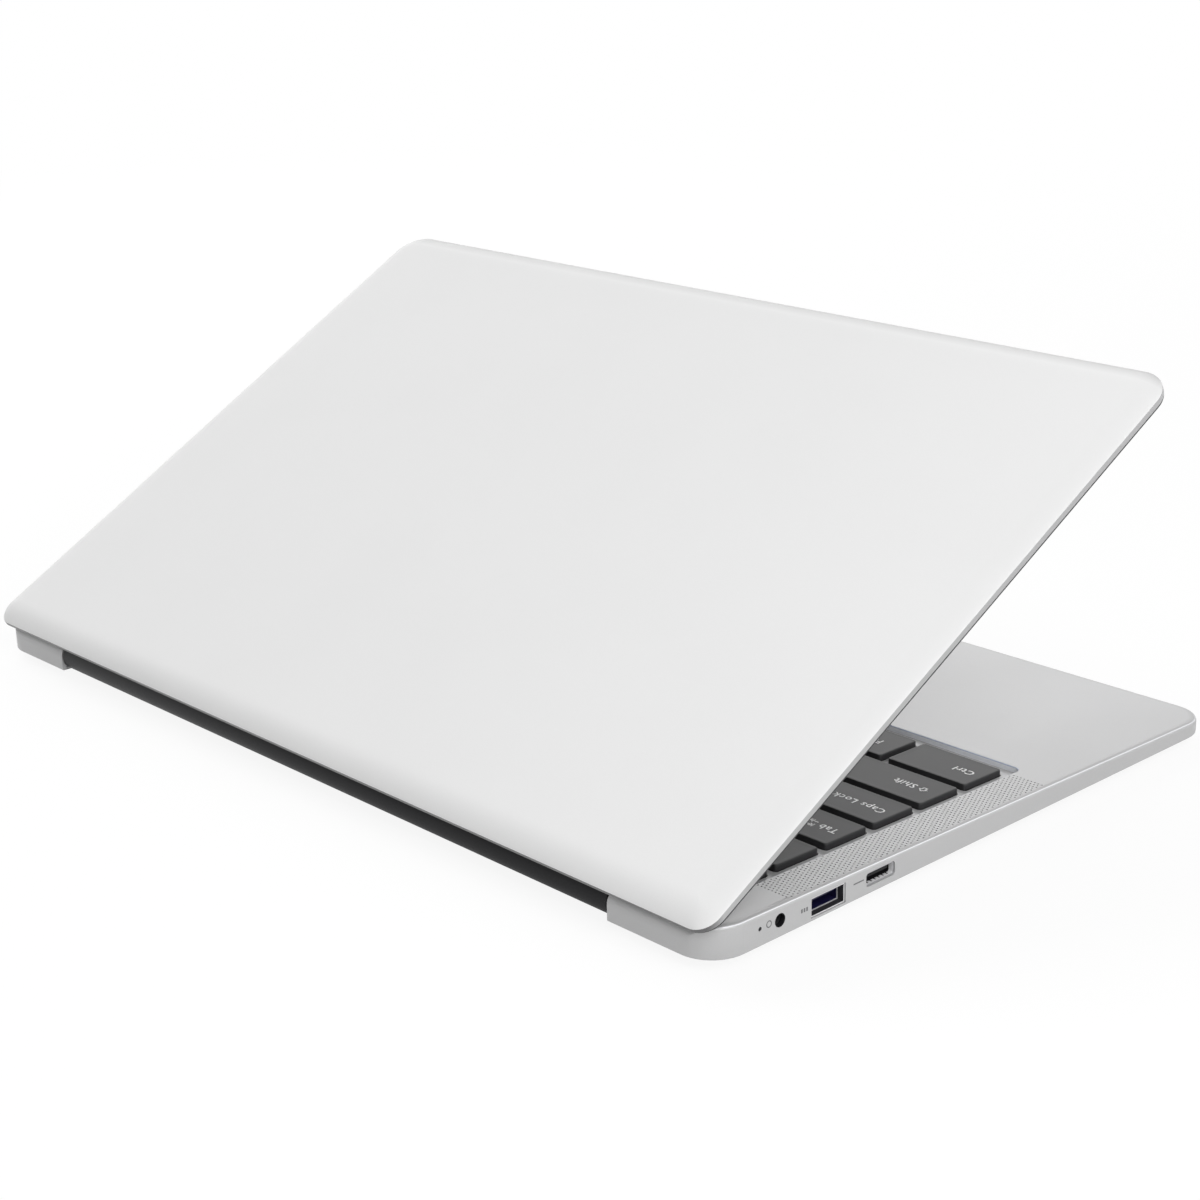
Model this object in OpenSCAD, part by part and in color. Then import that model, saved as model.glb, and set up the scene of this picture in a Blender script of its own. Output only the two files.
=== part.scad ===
// Laptop computer of the 14 inch class: wedge-shaped base, full-size island keyboard and a
// drop-hinged lid that turns about an axis at the rear edge.
// +X is the user's right, +Y the rear, +Z up. The origin lies on the resting plane, under the
// middle of the base. The lid is drawn partly open.

/* [Base] */
// Width of the base and of the lid
base_w = 333; // [330:1:340]
// Depth of the base, front edge to rear edge
base_d = 213; // [211:1:218]
// Corner radius of the base in plan
base_corner_r = 11; // [9:0.5:13]
// Radius of the rounding along the bottom edge of the side walls
bottom_edge_r = 0.4; // [0.3:0.1:0.6]
// Height of the side wall at the front edge
wall_front_h = 4.5; // [4.5:0.1:5.2]
// Height of the side wall at the rear edge
wall_rear_h = 9.2; // [9.1:0.1:10]
// Thickness of the top case's side walls
case_wall = 1.4; // [1.2:0.1:1.6]
// Thickness of the top case's deck
deck_t = 1.2; // [1:0.1:1.4]
// Thickness of the bottom cover
cover_t = 0.8; // [0.6:0.1:1]
// How far the pan of the bottom cover hangs below the side walls
pan_drop = 2; // [2:0.1:2.8]
// Distance from the base's outline to the top of the pan's sloping side
pan_inset = 10.5; // [10.5:0.5:13]
// Width in plan of the pan's sloping side
pan_slope_w = 3.5; // [2:0.5:5]

/* [Feet and screws] */
// Height of a rubber foot below the pan
foot_h = 1.2; // [0.8:0.1:2]
// Length of a rubber foot, along X
foot_l = 44; // [30:1:60]
// Width of a rubber foot
foot_w = 7; // [5:0.5:9]
// Radius of a screw's shank
screw_r = 0.95; // [0.8:0.05:1.1]
// Radius of a screw's head
screw_head_r = 1.9; // [1.7:0.1:2.2]
// Height of a screw's head
screw_head_h = 0.5; // [0.4:0.05:0.55]
// Length of the thread of a bottom screw above its head
screw_l = 3.4; // [3:0.1:4]

/* [Keyboard] */
// Depth of the palm rest, front edge to keyboard well
palm_d = 75.6; // [74:0.2:77]
// Width of the deck beside the keyboard well
keyboard_side_w = 12.95; // [12.5:0.05:14]
// Depth of the deck behind the keyboard well
hinge_strip_d = 25.6; // [25:0.1:27]
// Gap between neighbouring keycaps of a row
key_gap = 2.6; // [2.4:0.1:3]
// Gap between neighbouring rows of keycaps
row_gap = 2.8; // [2.6:0.1:3.2]
// Depth of a keycap in the function row
short_key_d = 8.6; // [7.5:0.1:9]
// Corner radius of a keycap in plan
key_corner_r = 0.9; // [0.5:0.1:1.5]
// Height of a keycap
cap_h = 2.1; // [1.95:0.05:2.2]
// Height of the keycaps' tops above the deck
cap_proud = 0.2; // [0.1:0.05:0.3]
// Travel of a key
key_travel = 1.2; // [1:0.05:1.3]
// Clearance between a keycap and its hole, all round
key_clear = 0.35; // [0.3:0.05:0.5]
// Depth of the keyboard well below the deck
well_depth = 1.6; // [1.5:0.05:1.7]
// Thickness of the well's floor between the keys
web_t = 1; // [0.8:0.1:1.1]
// Thickness of the well's side walls
well_wall = 1; // [0.8:0.1:1.2]
// Margin between the keys and the well's side edges
well_side_margin = 3.4; // [3:0.1:3.6]
// Margin between the keys and the well's front edge
well_front_margin = 4.2; // [3.6:0.1:4.6]
// Margin between the keys and the well's rear edge
well_rear_margin = 3; // [2.6:0.1:3.4]
// Thickness of the keyboard's steel plate
plate_t = 0.5; // [0.4:0.05:0.6]

/* [Touchpad] */
// Width of the touchpad
pad_w = 106; // [96:1:110]
// Depth of the touchpad
pad_d = 61; // [55:1:63]
// Thickness of the touchpad with its board
pad_t = 1.8; // [1.5:0.1:1.9]
// Gap round the touchpad
pad_gap = 0.3; // [0.25:0.05:0.5]
// Distance of the touchpad from the front edge of the base
pad_front = 8.5; // [7.5:0.5:10]
// Depth of the touchpad's face below the deck
pad_recess = 0.1; // [0.05:0.05:0.2]

/* [Ports] */
// Distance from the rear edge to the middle of a USB port
usb_from_rear = 41.9; // [41:0.1:43]
// Distance from the rear edge to the middle of the video port and of the headphone jack
video_from_rear = 62; // [61:0.5:64]
// Distance from the rear edge to the middle of the power jack
power_from_rear = 23.9; // [23.5:0.1:25]
// Distance from the rear edge to the middle of the charge light
light_from_rear = 16.7; // [16:0.1:18]
// Distance from the rear edge to the middle of the memory card slot
card_from_rear = 24; // [23.5:0.5:26]
// Width of the USB shell, outside
usb_w = 12.8; // [12.6:0.1:13.2]
// Height of the USB shell, outside
usb_h = 5.4; // [5.2:0.1:5.5]
// Width of the video port's shell, outside
video_w = 11.2; // [10.8:0.1:11.6]
// Height of the video port's shell, outside
video_h = 3.8; // [3.6:0.1:3.9]
// Corner radius of the video port's shell
video_corner_r = 1; // [0.8:0.1:1.3]
// Radius of the power jack's hole
power_r = 1.85; // [1.7:0.05:2]
// Radius of the headphone jack's hole
headphone_r = 1.8; // [1.75:0.05:1.85]
// Length of the port bodies inside the wall
port_l = 10.4; // [10:0.1:10.5]
// Thickness of the port shells
port_shell_t = 0.35; // [0.3:0.05:0.4]

/* [Lid] */
// Depth of the lid, hinge edge to free edge
lid_d = 213; // [212:0.5:218]
// Thickness of the back cover, rim to outer face
lid_t = 4.8; // [4.7:0.1:5.4]
// Corner radius of the lid in plan, at its free edge
lid_corner_r = 10.5; // [9.5:0.5:12]
// Height of the straight part of the back cover's edge
lid_edge_h = 2.1; // [1.8:0.1:2.4]
// Width in plan of the curved part of the back cover's edge, and the lid's corner radius at the hinge
lid_curve_w = 8; // [6:0.5:9]
// Thickness of the back cover's skin
lid_skin_t = 1; // [0.8:0.1:1.1]
// Height of the bezel's face above the back cover's rim
bezel_proud = 0.3; // [0.1:0.1:0.3]
// Thickness of the bezel
bezel_t = 1.2; // [1:0.1:1.4]
// Distance from the lid's side to the picture area
bezel_side_w = 11.8; // [11:0.1:16]
// Distance from the lid's free edge to the picture area
bezel_top_w = 11; // [10.5:0.5:13]
// Distance from the lid's hinge edge to the picture area
bezel_chin_w = 28; // [27:0.5:32]
// Thickness of the display panel
panel_t = 2.4; // [2:0.1:2.5]
// Height of the rubber bumpers on the bezel
bumper_h = 1.25; // [1:0.05:1.3]

/* [Hinge] */
// Angle of the lid from closed, as drawn
lid_open = 29.9; // [0:0.1:120]
// Distance of the hinge axis from the deck and from the rear edge
hinge_round_r = 4.6; // [4.5:0.1:4.8]
// Gap between the back cover's rim and the deck when closed
lid_rim_gap = 1.9; // [1.9:0.1:2.3]
// How far the lid reaches behind the hinge axis when closed
lid_back = 3.3; // [3:0.1:3.6]
// Width of each end of the base beside the hinge gap
rear_end_w = 37; // [36:0.5:46]
// Radius of the hinge cover's barrel
barrel_r = 4.5; // [4.3:0.05:4.5]
// Wall of the hinge cover
barrel_wall = 1.1; // [0.9:0.1:1.2]
// Gap between the hinge cover and the top case
barrel_gap = 0.5; // [0.4:0.05:0.7]
// Radius of a hinge shaft
shaft_r = 1.6; // [1.4:0.05:1.8]
// Radial running clearance of a hinge shaft
shaft_clear = 0.03; // [0.02:0.01:0.08]
// Wall of the knuckle round the shaft
knuckle_wall = 1.3; // [1.1:0.05:1.35]
// Length of a knuckle
knuckle_l = 10; // [8:0.5:12]
// Thickness of the hinge's steel plates
hinge_plate_t = 1.2; // [1:0.1:1.3]
// Width of a hinge leaf in the lid
leaf_w = 26; // [20:1:30]

/* [Boards and battery] */
// Thickness of the circuit boards
board_t = 0.8; // [0.6:0.1:1]
// Height of the boards above the bottom cover's inner face
board_lift = 2.6; // [2.5:0.1:2.7]
// Width of the battery
battery_w = 208; // [180:2:216]
// Depth of the battery
battery_d = 42; // [36:1:44]
// Thickness of the battery
battery_t = 2.7; // [2.2:0.1:2.8]
// Length of a speaker
speaker_l = 44; // [36:1:50]
// Height of a speaker
speaker_h = 3.2; // [2.6:0.1:3.3]

/* [Hidden] */
$fn = 48;

// Overrun of a cutting solid past the face that it opens
cut = 1;
// Size of a half space that trims a solid
far = 60;
// Air between two fixed pieces that lie next to each other
fit = 0.15;

// Heights of the base
wall_z = foot_h + pan_drop;
floor_z = foot_h + cover_t;
rim_top_z = wall_z + cover_t;
deck_tilt = atan((wall_rear_h - wall_front_h) / base_d);
function deck_z(y) = wall_z + wall_front_h + (y + base_d / 2) * tan(deck_tilt);

// Hinge axis, and the hinge gap in the base's rear edge
hinge_y = base_d / 2 - hinge_round_r;
hinge_z = deck_z(hinge_y) - hinge_round_r / cos(deck_tilt);
lid_elevation = lid_open - deck_tilt;
gap_w = base_w - 2 * rear_end_w;
hinge_cover_l = gap_w - 2 * barrel_gap;
gap_front_y = hinge_y - barrel_r - barrel_gap;
knuckle_r = shaft_r + shaft_clear + knuckle_wall;
shaft_hole_r = shaft_r + 0.6;
knuckle_x = gap_w / 2 + case_wall + fit;
bracket_w = 19;

// Rows of keys from front to rear: each key is its node and its width in pitches
row_units = 15.9;
short_unit = row_units / 16;
function run(name, count, width) = [for (i = [1:count]) [name, width]];
key_rows = [
    concat([["key_ctrl_left", 1.6]], run("modifier_keys", 2, 1), [["modifier_keys", 1.1]],
           [["key_space", 5.2]], run("modifier_keys", 3, 1),
           [["key_arrow_left", 1], ["key_arrow_down", 1], ["key_arrow_right", 1]]),
    concat([["key_shift_left", 2.25]], run("lower_letter_keys", 10, 1),
           [["key_shift_right", 1.65], ["key_arrow_up", 1], ["navigation_keys", 1]]),
    concat([["key_caps_lock", 1.75]], run("home_letter_keys", 11, 1),
           [["key_enter", 2.15], ["navigation_keys", 1]]),
    concat([["key_tab", 1.5]], run("upper_letter_keys", 12, 1),
           [["upper_letter_keys", 1.4], ["navigation_keys", 1]]),
    concat([["key_backquote", 1]], run("number_keys", 12, 1),
           [["key_backspace", 1.9], ["navigation_keys", 1]]),
    concat([["key_escape", short_unit]], run("function_keys", 14, short_unit),
           [["key_power", short_unit]])
];
function units_before(row, k) = k == 0 ? 0 : row[k - 1][1] + units_before(row, k - 1);
full_rows = len(key_rows) - 1;

// Keyboard well, its keys and the plate under them, in the deck's frame
well_w = base_w - 2 * keyboard_side_w;
well_d = base_d - palm_d - hinge_strip_d;
well_r = 2;
keys_w = well_w - 2 * well_side_margin;
keys_d = well_d - well_front_margin - well_rear_margin;
keys_front = palm_d + well_front_margin;
key_pitch = (keys_w + key_gap) / row_units;
row_pitch = (keys_d - short_key_d) / full_rows;
key_d = row_pitch - row_gap;
function row_front(r) = keys_front + r * row_pitch;
function row_d(r) = r < full_rows ? key_d : short_key_d;
web_bottom = well_depth + web_t;
plate_air = 0.35;
plate_top = cap_h - cap_proud + key_travel + plate_air;
plate_rim_w = 1.6;
plate_w = well_w - 2 * fit;
plate_d = well_d - 2 * fit;
well_rear_y = -base_d / 2 + palm_d + well_d;

// Boards: the main board is on the left and the small one on the right
board_z = floor_z + board_lift;
board_top = board_z + board_t;
board_rear_y = base_d / 2 - 22.5;
board_edge_x = base_w / 2 - case_wall - 1.6;
mother_right_x = board_edge_x - 123.5;
mother_front_y = board_rear_y - 56;
io_left_x = board_edge_x - 22.5;
io_front_y = board_rear_y - 50;
cutout_air = 0.3;
chip_h = 1;
post_r = 2;
post_edge = 6;

// Ports: the wall openings are the shells with a little air
port_x = base_w / 2 - 0.3;
port_air = 0.1;
usb_below_deck = 4.6;
power_below_deck = 4;
jack_x = base_w / 2 - case_wall - 0.4;
jack_end_wall = 0.8;
usb_y = base_d / 2 - usb_from_rear;
video_y = base_d / 2 - video_from_rear;
power_y = base_d / 2 - power_from_rear;
light_y = base_d / 2 - light_from_rear;
card_y = base_d / 2 - card_from_rear;
usb_z = deck_z(usb_y) - usb_below_deck;
video_z = board_top + video_h / 2;
power_z = deck_z(power_y) - power_below_deck;
light_z = deck_z(light_y) - power_below_deck;
light_r = 0.5;
headphone_air = 0.08;
headphone_top_z = deck_z(video_y) - web_bottom - fit;
headphone_body_h = headphone_top_z - rim_top_z - headphone_air;
headphone_body_w = 6.4;
headphone_l = 11;
headphone_z = headphone_top_z - headphone_body_h / 2;
card_w = 12;
card_h = 1.6;
card_z = board_top + card_h / 2 + 0.2;

// Bottom screws: [x, y] of each, and the bosses that take them
front_screw_y = -base_d / 2 + 18.5;
palm_screw_y = -base_d / 2 + palm_d - 4.6;
rear_screw_y = base_d / 2 - 17.5;
outer_screw_x = base_w / 2 - 21.5;
screw_places = [for (sx = [-1, 1]) for (p = [
    [outer_screw_x, front_screw_y], [pad_w / 2 + 17, front_screw_y], [outer_screw_x, palm_screw_y],
    [gap_w / 2 - 11.5, rear_screw_y], [mother_right_x, rear_screw_y]]) [sx * p[0], p[1]]];
boss_r = 2.3;
thread_air = 0.05;
foot_places = [for (sx = [-1, 1]) for (sy = [-1, 1]) [sx * (base_w / 2 - 48.5), sy * (base_d / 2 - 26.5)]];

// Lid sizes in the lid's frame: Y = 0 and Z = 0 on the hinge axis, +Z out of the back cover,
// -Y towards the free edge
rim_z = hinge_round_r + lid_rim_gap;
free_y = lid_back - lid_d;
lid_mid_y = lid_back - lid_d / 2;
bezel_face_z = rim_z - bezel_proud;
bezel_back_z = bezel_face_z + bezel_t;
skin_z = rim_z + lid_t - lid_skin_t;
bezel_inset = lid_skin_t + 0.3;
screen_w = base_w - 2 * bezel_side_w;
screen_d = lid_d - bezel_top_w - bezel_chin_w;
screen_mid_y = free_y + bezel_top_w + screen_d / 2;
panel_w = screen_w + 6.6;
panel_d = screen_d + 10;
panel_rear_y = screen_mid_y + screen_d / 2 + 5.5;
panel_front_y = panel_rear_y - panel_d;
leaf_x = hinge_cover_l / 2 - 3;
leaf_rear_y = 1;
leaf_front_y = panel_rear_y + 1;
leaf_z = bezel_back_z + 0.2;
tab_y = hinge_plate_t / 2;
neck_front_y = -barrel_r;
neck_rear_y = lid_back - bezel_inset;
neck_inner_rear_y = neck_rear_y - barrel_wall;
cable_x = -40;
cable_w = 8;
cable_t = 0.3;
cable_y = -3;
webcam_lens_r = 1.4;
webcam_y = free_y + 3.5;
leaf_screw_x = [leaf_x - 5, leaf_x - leaf_w + 5];
leaf_screw_y = (leaf_front_y + leaf_rear_y) / 2 - 2;

// --- Shared shapes -------------------------------------------------------------------

module round_rect(w, d, r) {
    square([w - 2 * r, d], center = true);
    square([w, d - 2 * r], center = true);
    for (sx = [-1, 1]) {
        for (sy = [-1, 1]) {
            translate([sx * (w / 2 - r), sy * (d / 2 - r)]) circle(r);
        }
    }
}

module slab(w, d, h, r) {
    linear_extrude(h) round_rect(w, d, r);
}

module box(low, high) {
    translate(low) cube([high[0] - low[0], high[1] - low[1], high[2] - low[2]]);
}

module rod_x(r, x0, x1) {
    translate([x0, 0, 0]) rotate([0, 90, 0]) cylinder(h = x1 - x0, r = r);
}

// A bar along X with rounded corners
module bar_x(w, h, r, x0, x1) {
    translate([x0, 0, 0]) rotate([90, 0, 90]) slab(w, h, x1 - x0, r);
}

module both_sides() {
    for (side = [0, 1]) {
        mirror([side, 0, 0]) children();
    }
}

// Frame of the sloping deck: Y runs back from the front edge, Z = 0 is the deck's face
module deck_frame() {
    translate([0, -base_d / 2, wall_z + wall_front_h]) rotate([deck_tilt, 0, 0]) children();
}

// Frame of the lid, on the hinge axis
module lid_frame() {
    translate([0, hinge_y, hinge_z]) rotate([-lid_elevation, 0, 0]) children();
}

module base_outline(inset) {
    round_rect(base_w - 2 * inset, base_d - 2 * inset, base_corner_r - inset);
}

// Everything lower than a level of the deck's frame
module below_deck(depth) {
    deck_frame() box([-base_w, -far, -far - depth], [base_w, base_d + far, -depth]);
}

// What lies outside a round of radius r along the rear top edge
module rear_corner(r) {
    difference() {
        box([-base_w, hinge_y, hinge_z], [base_w, hinge_y + far, hinge_z + far]);
        translate([0, hinge_y, hinge_z]) rod_x(r, -base_w - cut, base_w + cut);
    }
}

// Solid on a rounded rectangle whose edge follows a section, drawn from the bottom up: each
// point is [distance in from the outline, height]
module edged_form(w, d, front_r, rear_r, section) {
    translate([0, (front_r - rear_r) / 2, 0]) rotate([90, 0, 0]) {
        linear_extrude(d - front_r - rear_r, center = true) {
            half_section(w / 2, section);
            mirror([1, 0]) half_section(w / 2, section);
        }
    }
    for (end = [[-1, front_r], [1, rear_r]]) {
        rotate([0, 0, end[0] * 90]) rotate([90, 0, 0]) {
            linear_extrude(w - 2 * end[1], center = true) half_section(d / 2, section);
        }
        for (sx = [-1, 1]) {
            translate([sx * (w / 2 - end[1]), end[0] * (d / 2 - end[1]), 0]) {
                rotate_extrude() half_section(end[1], section);
            }
        }
    }
}

module half_section(reach, section) {
    polygon(concat([[0, section[0][1]]], [for (p = section) [reach - p[0], p[1]]],
                   [[0, section[len(section) - 1][1]]]));
}

// Outer form of the base, filled
module base_body() {
    round_edge = [for (a = [0:30:90])
        [bottom_edge_r * (1 - sin(a)), wall_z + bottom_edge_r * (1 - cos(a))]];
    section = concat(round_edge, [[0, far]]);
    difference() {
        intersection() {
            edged_form(base_w, base_d, base_corner_r, base_corner_r, section);
            below_deck(0);
        }
        rear_corner(hinge_round_r);
    }
}

// Inside of the base, between the walls and under the deck
module base_hollow() {
    difference() {
        intersection() {
            translate([0, 0, wall_z - cut]) linear_extrude(far) base_outline(case_wall);
            below_deck(deck_t);
        }
        rear_corner(hinge_round_r - case_wall);
    }
}

// --- Top case -------------------------------------------------------------------------

module key_plan(grow) {
    for (r = [0:full_rows]) {
        for (k = [0:len(key_rows[r]) - 1]) {
            key_outline(r, k, grow);
        }
    }
}

module key_outline(r, k, grow) {
    row = key_rows[r];
    w = row[k][1] * key_pitch - key_gap;
    x = -keys_w / 2 + units_before(row, k) * key_pitch + w / 2;
    y = row_front(r) + row_d(r) / 2;
    translate([x, y]) round_rect(w + 2 * grow, row_d(r) + 2 * grow, key_corner_r + grow);
}

module well_plan(grow) {
    translate([0, palm_d + well_d / 2]) {
        round_rect(well_w + 2 * grow, well_d + 2 * grow, well_r + grow);
    }
}

module keyboard_well() {
    deck_frame() {
        translate([0, 0, -web_bottom]) linear_extrude(web_bottom - deck_t / 2) difference() {
            well_plan(well_wall);
            well_plan(0);
        }
        translate([0, 0, -web_bottom]) linear_extrude(web_t) difference() {
            well_plan(well_wall);
            key_plan(key_clear);
        }
    }
}

module deck_openings() {
    deck_frame() {
        translate([0, 0, -well_depth]) linear_extrude(far) well_plan(0);
        translate([0, pad_front + pad_d / 2, -far / 2]) {
            slab(pad_w + 2 * pad_gap, pad_d + 2 * pad_gap, far, 3);
        }
    }
}

module hinge_gap() {
    box([-gap_w / 2, gap_front_y, -cut], [gap_w / 2, base_d, far]);
}

module hinge_gap_walls() {
    intersection() {
        base_body();
        union() {
            box([-gap_w / 2 - case_wall, gap_front_y - case_wall, rim_top_z + fit],
                [gap_w / 2 + case_wall, gap_front_y, far]);
            both_sides() box([gap_w / 2, gap_front_y - case_wall, rim_top_z + fit],
                             [gap_w / 2 + case_wall, base_d, far]);
        }
    }
}

module screw_bosses() {
    difference() {
        intersection() {
            for (p = screw_places) {
                translate([p[0], p[1], floor_z + fit]) cylinder(h = far, r = boss_r);
            }
            below_deck(deck_t / 2);
        }
        for (p = screw_places) {
            translate([p[0], p[1], 0]) cylinder(h = floor_z + screw_l + fit, r = screw_r + thread_air);
        }
    }
}

// Openings for the ports in the left and right walls
module port_openings() {
    reach = case_wall + 3;
    both_sides() {
        translate([base_w / 2, usb_y, usb_z]) {
            cube([2 * reach, usb_w + 2 * port_air, usb_h + 2 * port_air], center = true);
        }
    }
    translate([-base_w / 2, video_y, video_z]) {
        bar_x(video_w + 2 * port_air, video_h + 2 * port_air, video_corner_r + port_air, -reach, reach);
    }
    translate([-base_w / 2, power_y, power_z]) rod_x(power_r, -reach, reach);
    translate([-base_w / 2, light_y, light_z]) rod_x(light_r + port_air, -reach, reach);
    translate([base_w / 2, video_y, headphone_z]) rod_x(headphone_r, -reach, reach);
    translate([base_w / 2, card_y, card_z]) {
        cube([2 * reach, card_w, card_h], center = true);
    }
}

module top_case() {
    color("silver") difference() {
        union() {
            difference() {
                base_body();
                base_hollow();
                deck_openings();
                hinge_gap();
            }
            hinge_gap_walls();
            keyboard_well();
            screw_bosses();
        }
        port_openings();
        translate([0, hinge_y, hinge_z]) rod_x(shaft_hole_r, -base_w / 2 + 20, base_w / 2 - 20);
    }
}

// --- Bottom cover, feet and screws ------------------------------------------------------

module pan(inset, top_z, bottom_z) {
    hull() {
        translate([0, 0, top_z]) linear_extrude(0.01) {
            base_outline_soft(pan_inset + inset);
        }
        translate([0, 0, bottom_z]) linear_extrude(0.01) {
            base_outline_soft(pan_inset + pan_slope_w + inset);
        }
    }
}

module base_outline_soft(inset) {
    round_rect(base_w - 2 * inset, base_d - 2 * inset, base_corner_r / 2, $fn = 32);
}

module bottom_cover() {
    color("lightgray") difference() {
        union() {
            translate([0, 0, wall_z]) linear_extrude(cover_t) base_outline(case_wall + fit);
            pan(0, wall_z + cover_t / 2, foot_h);
            for (p = board_posts()) {
                translate([p[0], p[1], foot_h + cover_t / 2]) {
                    cylinder(h = board_z - foot_h - cover_t / 2, r = post_r);
                }
            }
        }
        difference() {
            pan(cover_t, wall_z + cover_t + cut, floor_z);
            for (p = board_posts()) {
                translate([p[0], p[1], 0]) cylinder(h = far, r = post_r);
            }
        }
        hinge_gap();
        for (p = screw_places) {
            translate([p[0], p[1], 0]) cylinder(h = far, r = screw_r + thread_air);
            translate([p[0], p[1], foot_h - cut]) {
                cylinder(h = cut + screw_head_h, r = screw_head_r + fit);
            }
        }
    }
}

function board_posts() = [
    [-board_edge_x + 3 * post_edge, mother_front_y + post_edge],
    [mother_right_x - 110, mother_front_y + post_edge],
    [mother_right_x - post_edge, mother_front_y + post_edge],
    [mother_right_x - post_edge, board_rear_y - post_edge],
    [mother_right_x - 120, board_rear_y - post_edge],
    [io_left_x + post_edge, io_front_y + post_edge],
    [io_left_x + post_edge, board_rear_y - post_edge]
];

module rubber_feet() {
    color("dimgray") for (p = foot_places) {
        translate([p[0], p[1], 0]) slab(foot_l, foot_w, foot_h, foot_w / 2 - 0.5);
    }
}

module bottom_screws() {
    color("gray") for (p = screw_places) {
        translate([p[0], p[1], foot_h]) {
            cylinder(h = screw_head_h, r = screw_head_r);
            cylinder(h = screw_head_h + screw_l, r = screw_r);
        }
    }
}

// --- Keyboard ---------------------------------------------------------------------------

module keyboard_plate() {
    color("darkgray") deck_frame() {
        translate([0, palm_d + well_d / 2, -plate_top - plate_t]) {
            slab(plate_w, plate_d, plate_t, well_r);
            linear_extrude(plate_top + plate_t - web_bottom) difference() {
                round_rect(plate_w, plate_d, well_r);
                square([plate_w - 2 * plate_rim_w, plate_d - 2 * plate_rim_w], center = true);
            }
        }
    }
}

// All keycaps that belong to one node
module keycaps(name) {
    color("#3a3a3c") deck_frame() {
        for (r = [0:full_rows]) {
            for (k = [0:len(key_rows[r]) - 1]) {
                if (key_rows[r][k][0] == name) {
                    translate([0, 0, cap_proud - cap_h]) linear_extrude(cap_h) key_outline(r, k, 0);
                }
            }
        }
    }
}

// --- Touchpad ---------------------------------------------------------------------------

module touchpad() {
    color("gainsboro") deck_frame() {
        translate([0, pad_front + pad_d / 2, -pad_recess - pad_t]) slab(pad_w, pad_d, pad_t, 2.7);
    }
}

module touchpad_bracket() {
    sheet_t = 0.6;
    tab_w = 5;
    top = pad_recess + pad_t + 0.8;
    outer = pad_w / 2 + tab_w;
    rear_y = pad_front + pad_d;
    color("slategray") deck_frame() {
        box([-outer, pad_front, -top - sheet_t], [outer, rear_y, -top]);
        both_sides() box([pad_w / 2 + 1, pad_front, -top - sheet_t], [outer, rear_y, -deck_t]);
        box([-outer, rear_y - 3, -top], [outer, rear_y, -top + 0.5]);
        translate([0, pad_front + 8, -top]) cylinder(h = 0.2, r = 3);
    }
}

// --- Boards, cards and battery ----------------------------------------------------------

module motherboard() {
    color("darkgreen") difference() {
        box([-board_edge_x, mother_front_y, board_z], [mother_right_x, board_rear_y, board_top]);
        box([-board_edge_x - cut, usb_y - usb_w / 2 - cutout_air, board_z - cut],
            [-port_x + port_l + cutout_air, usb_y + usb_w / 2 + cutout_air, board_top + cut]);
    }
}

// What lies on the main board, measured from its front right corner
module on_board() {
    translate([mother_right_x, mother_front_y, board_top]) children();
}

module chip(x, y, w, d) {
    translate([x, y, 0]) cube([w, d, chip_h]);
}

module processor_chips() {
    color("#303338") on_board() {
        chip(-122, 20, 24, 24);
        chip(-92, 22, 11, 14);
        chip(-78, 22, 11, 14);
        chip(-150, 12, 12, 12);
    }
}

module heat_spreader() {
    color("peru") on_board() translate([-132, 16, chip_h]) cube([68, 30, 0.3]);
}

// A plug-in card of length l and width w, in its connector on the main board
module card(x, y, l, w) {
    translate([x, y, 0]) {
        cube([3, w, 1.2]);
        translate([1, 0, 0.4]) cube([l - 1, w, 0.6]);
        translate([l - 5, 2, 0]) cube([4, w - 4, 1.4]);
    }
}

module storage_card() {
    color("darkslategray") on_board() card(-52, 28, 42, 22);
}

module wifi_card() {
    color("midnightblue") on_board() card(-48, 6, 24, 16);
}

module battery_pack() {
    cells = 3;
    rear_y = -base_d / 2 + palm_d - 7;
    seam = 0.6;
    cell_w = battery_w / cells;
    color("#2c2c30") translate([0, rear_y - battery_d / 2, floor_z]) {
        slab(battery_w, battery_d, battery_t - seam, 2);
        for (i = [0:cells - 1]) {
            translate([(i - (cells - 1) / 2) * cell_w, 0, 0]) {
                slab(cell_w - seam, battery_d - seam, battery_t, 2);
            }
        }
    }
}

module speaker(side) {
    inner_x = well_w / 2 + well_wall + fit;
    outer_x = base_w / 2 - case_wall - fit;
    rear_y = base_d - video_from_rear - 17.4;
    front_y = rear_y - speaker_l;
    color("#252528") mirror([side, 0, 0]) deck_frame() {
        box([inner_x, front_y, -deck_t - speaker_h], [outer_x, rear_y, -deck_t]);
        box([inner_x + 1, front_y + 4, -deck_t - speaker_h - 0.4],
            [outer_x - 1, rear_y - 4, -deck_t]);
    }
}

module io_board() {
    color("darkgreen") difference() {
        box([io_left_x, io_front_y, board_z], [board_edge_x, board_rear_y, board_top]);
        box([port_x - port_l - cutout_air, usb_y - usb_w / 2 - cutout_air, board_z - cut],
            [base_w, usb_y + usb_w / 2 + cutout_air, board_top + cut]);
        box([jack_x - headphone_l - cutout_air, video_y - headphone_body_w / 2 - cutout_air, board_z - cut],
            [base_w, video_y + headphone_body_w / 2 + cutout_air, board_top + cut]);
    }
}

module io_ribbon() {
    color("white") {
        box([mother_right_x - 5, io_front_y + 2, board_top],
            [io_left_x + 5, io_front_y + 12, board_top + 0.2]);
    }
}

// --- Ports ------------------------------------------------------------------------------

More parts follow.
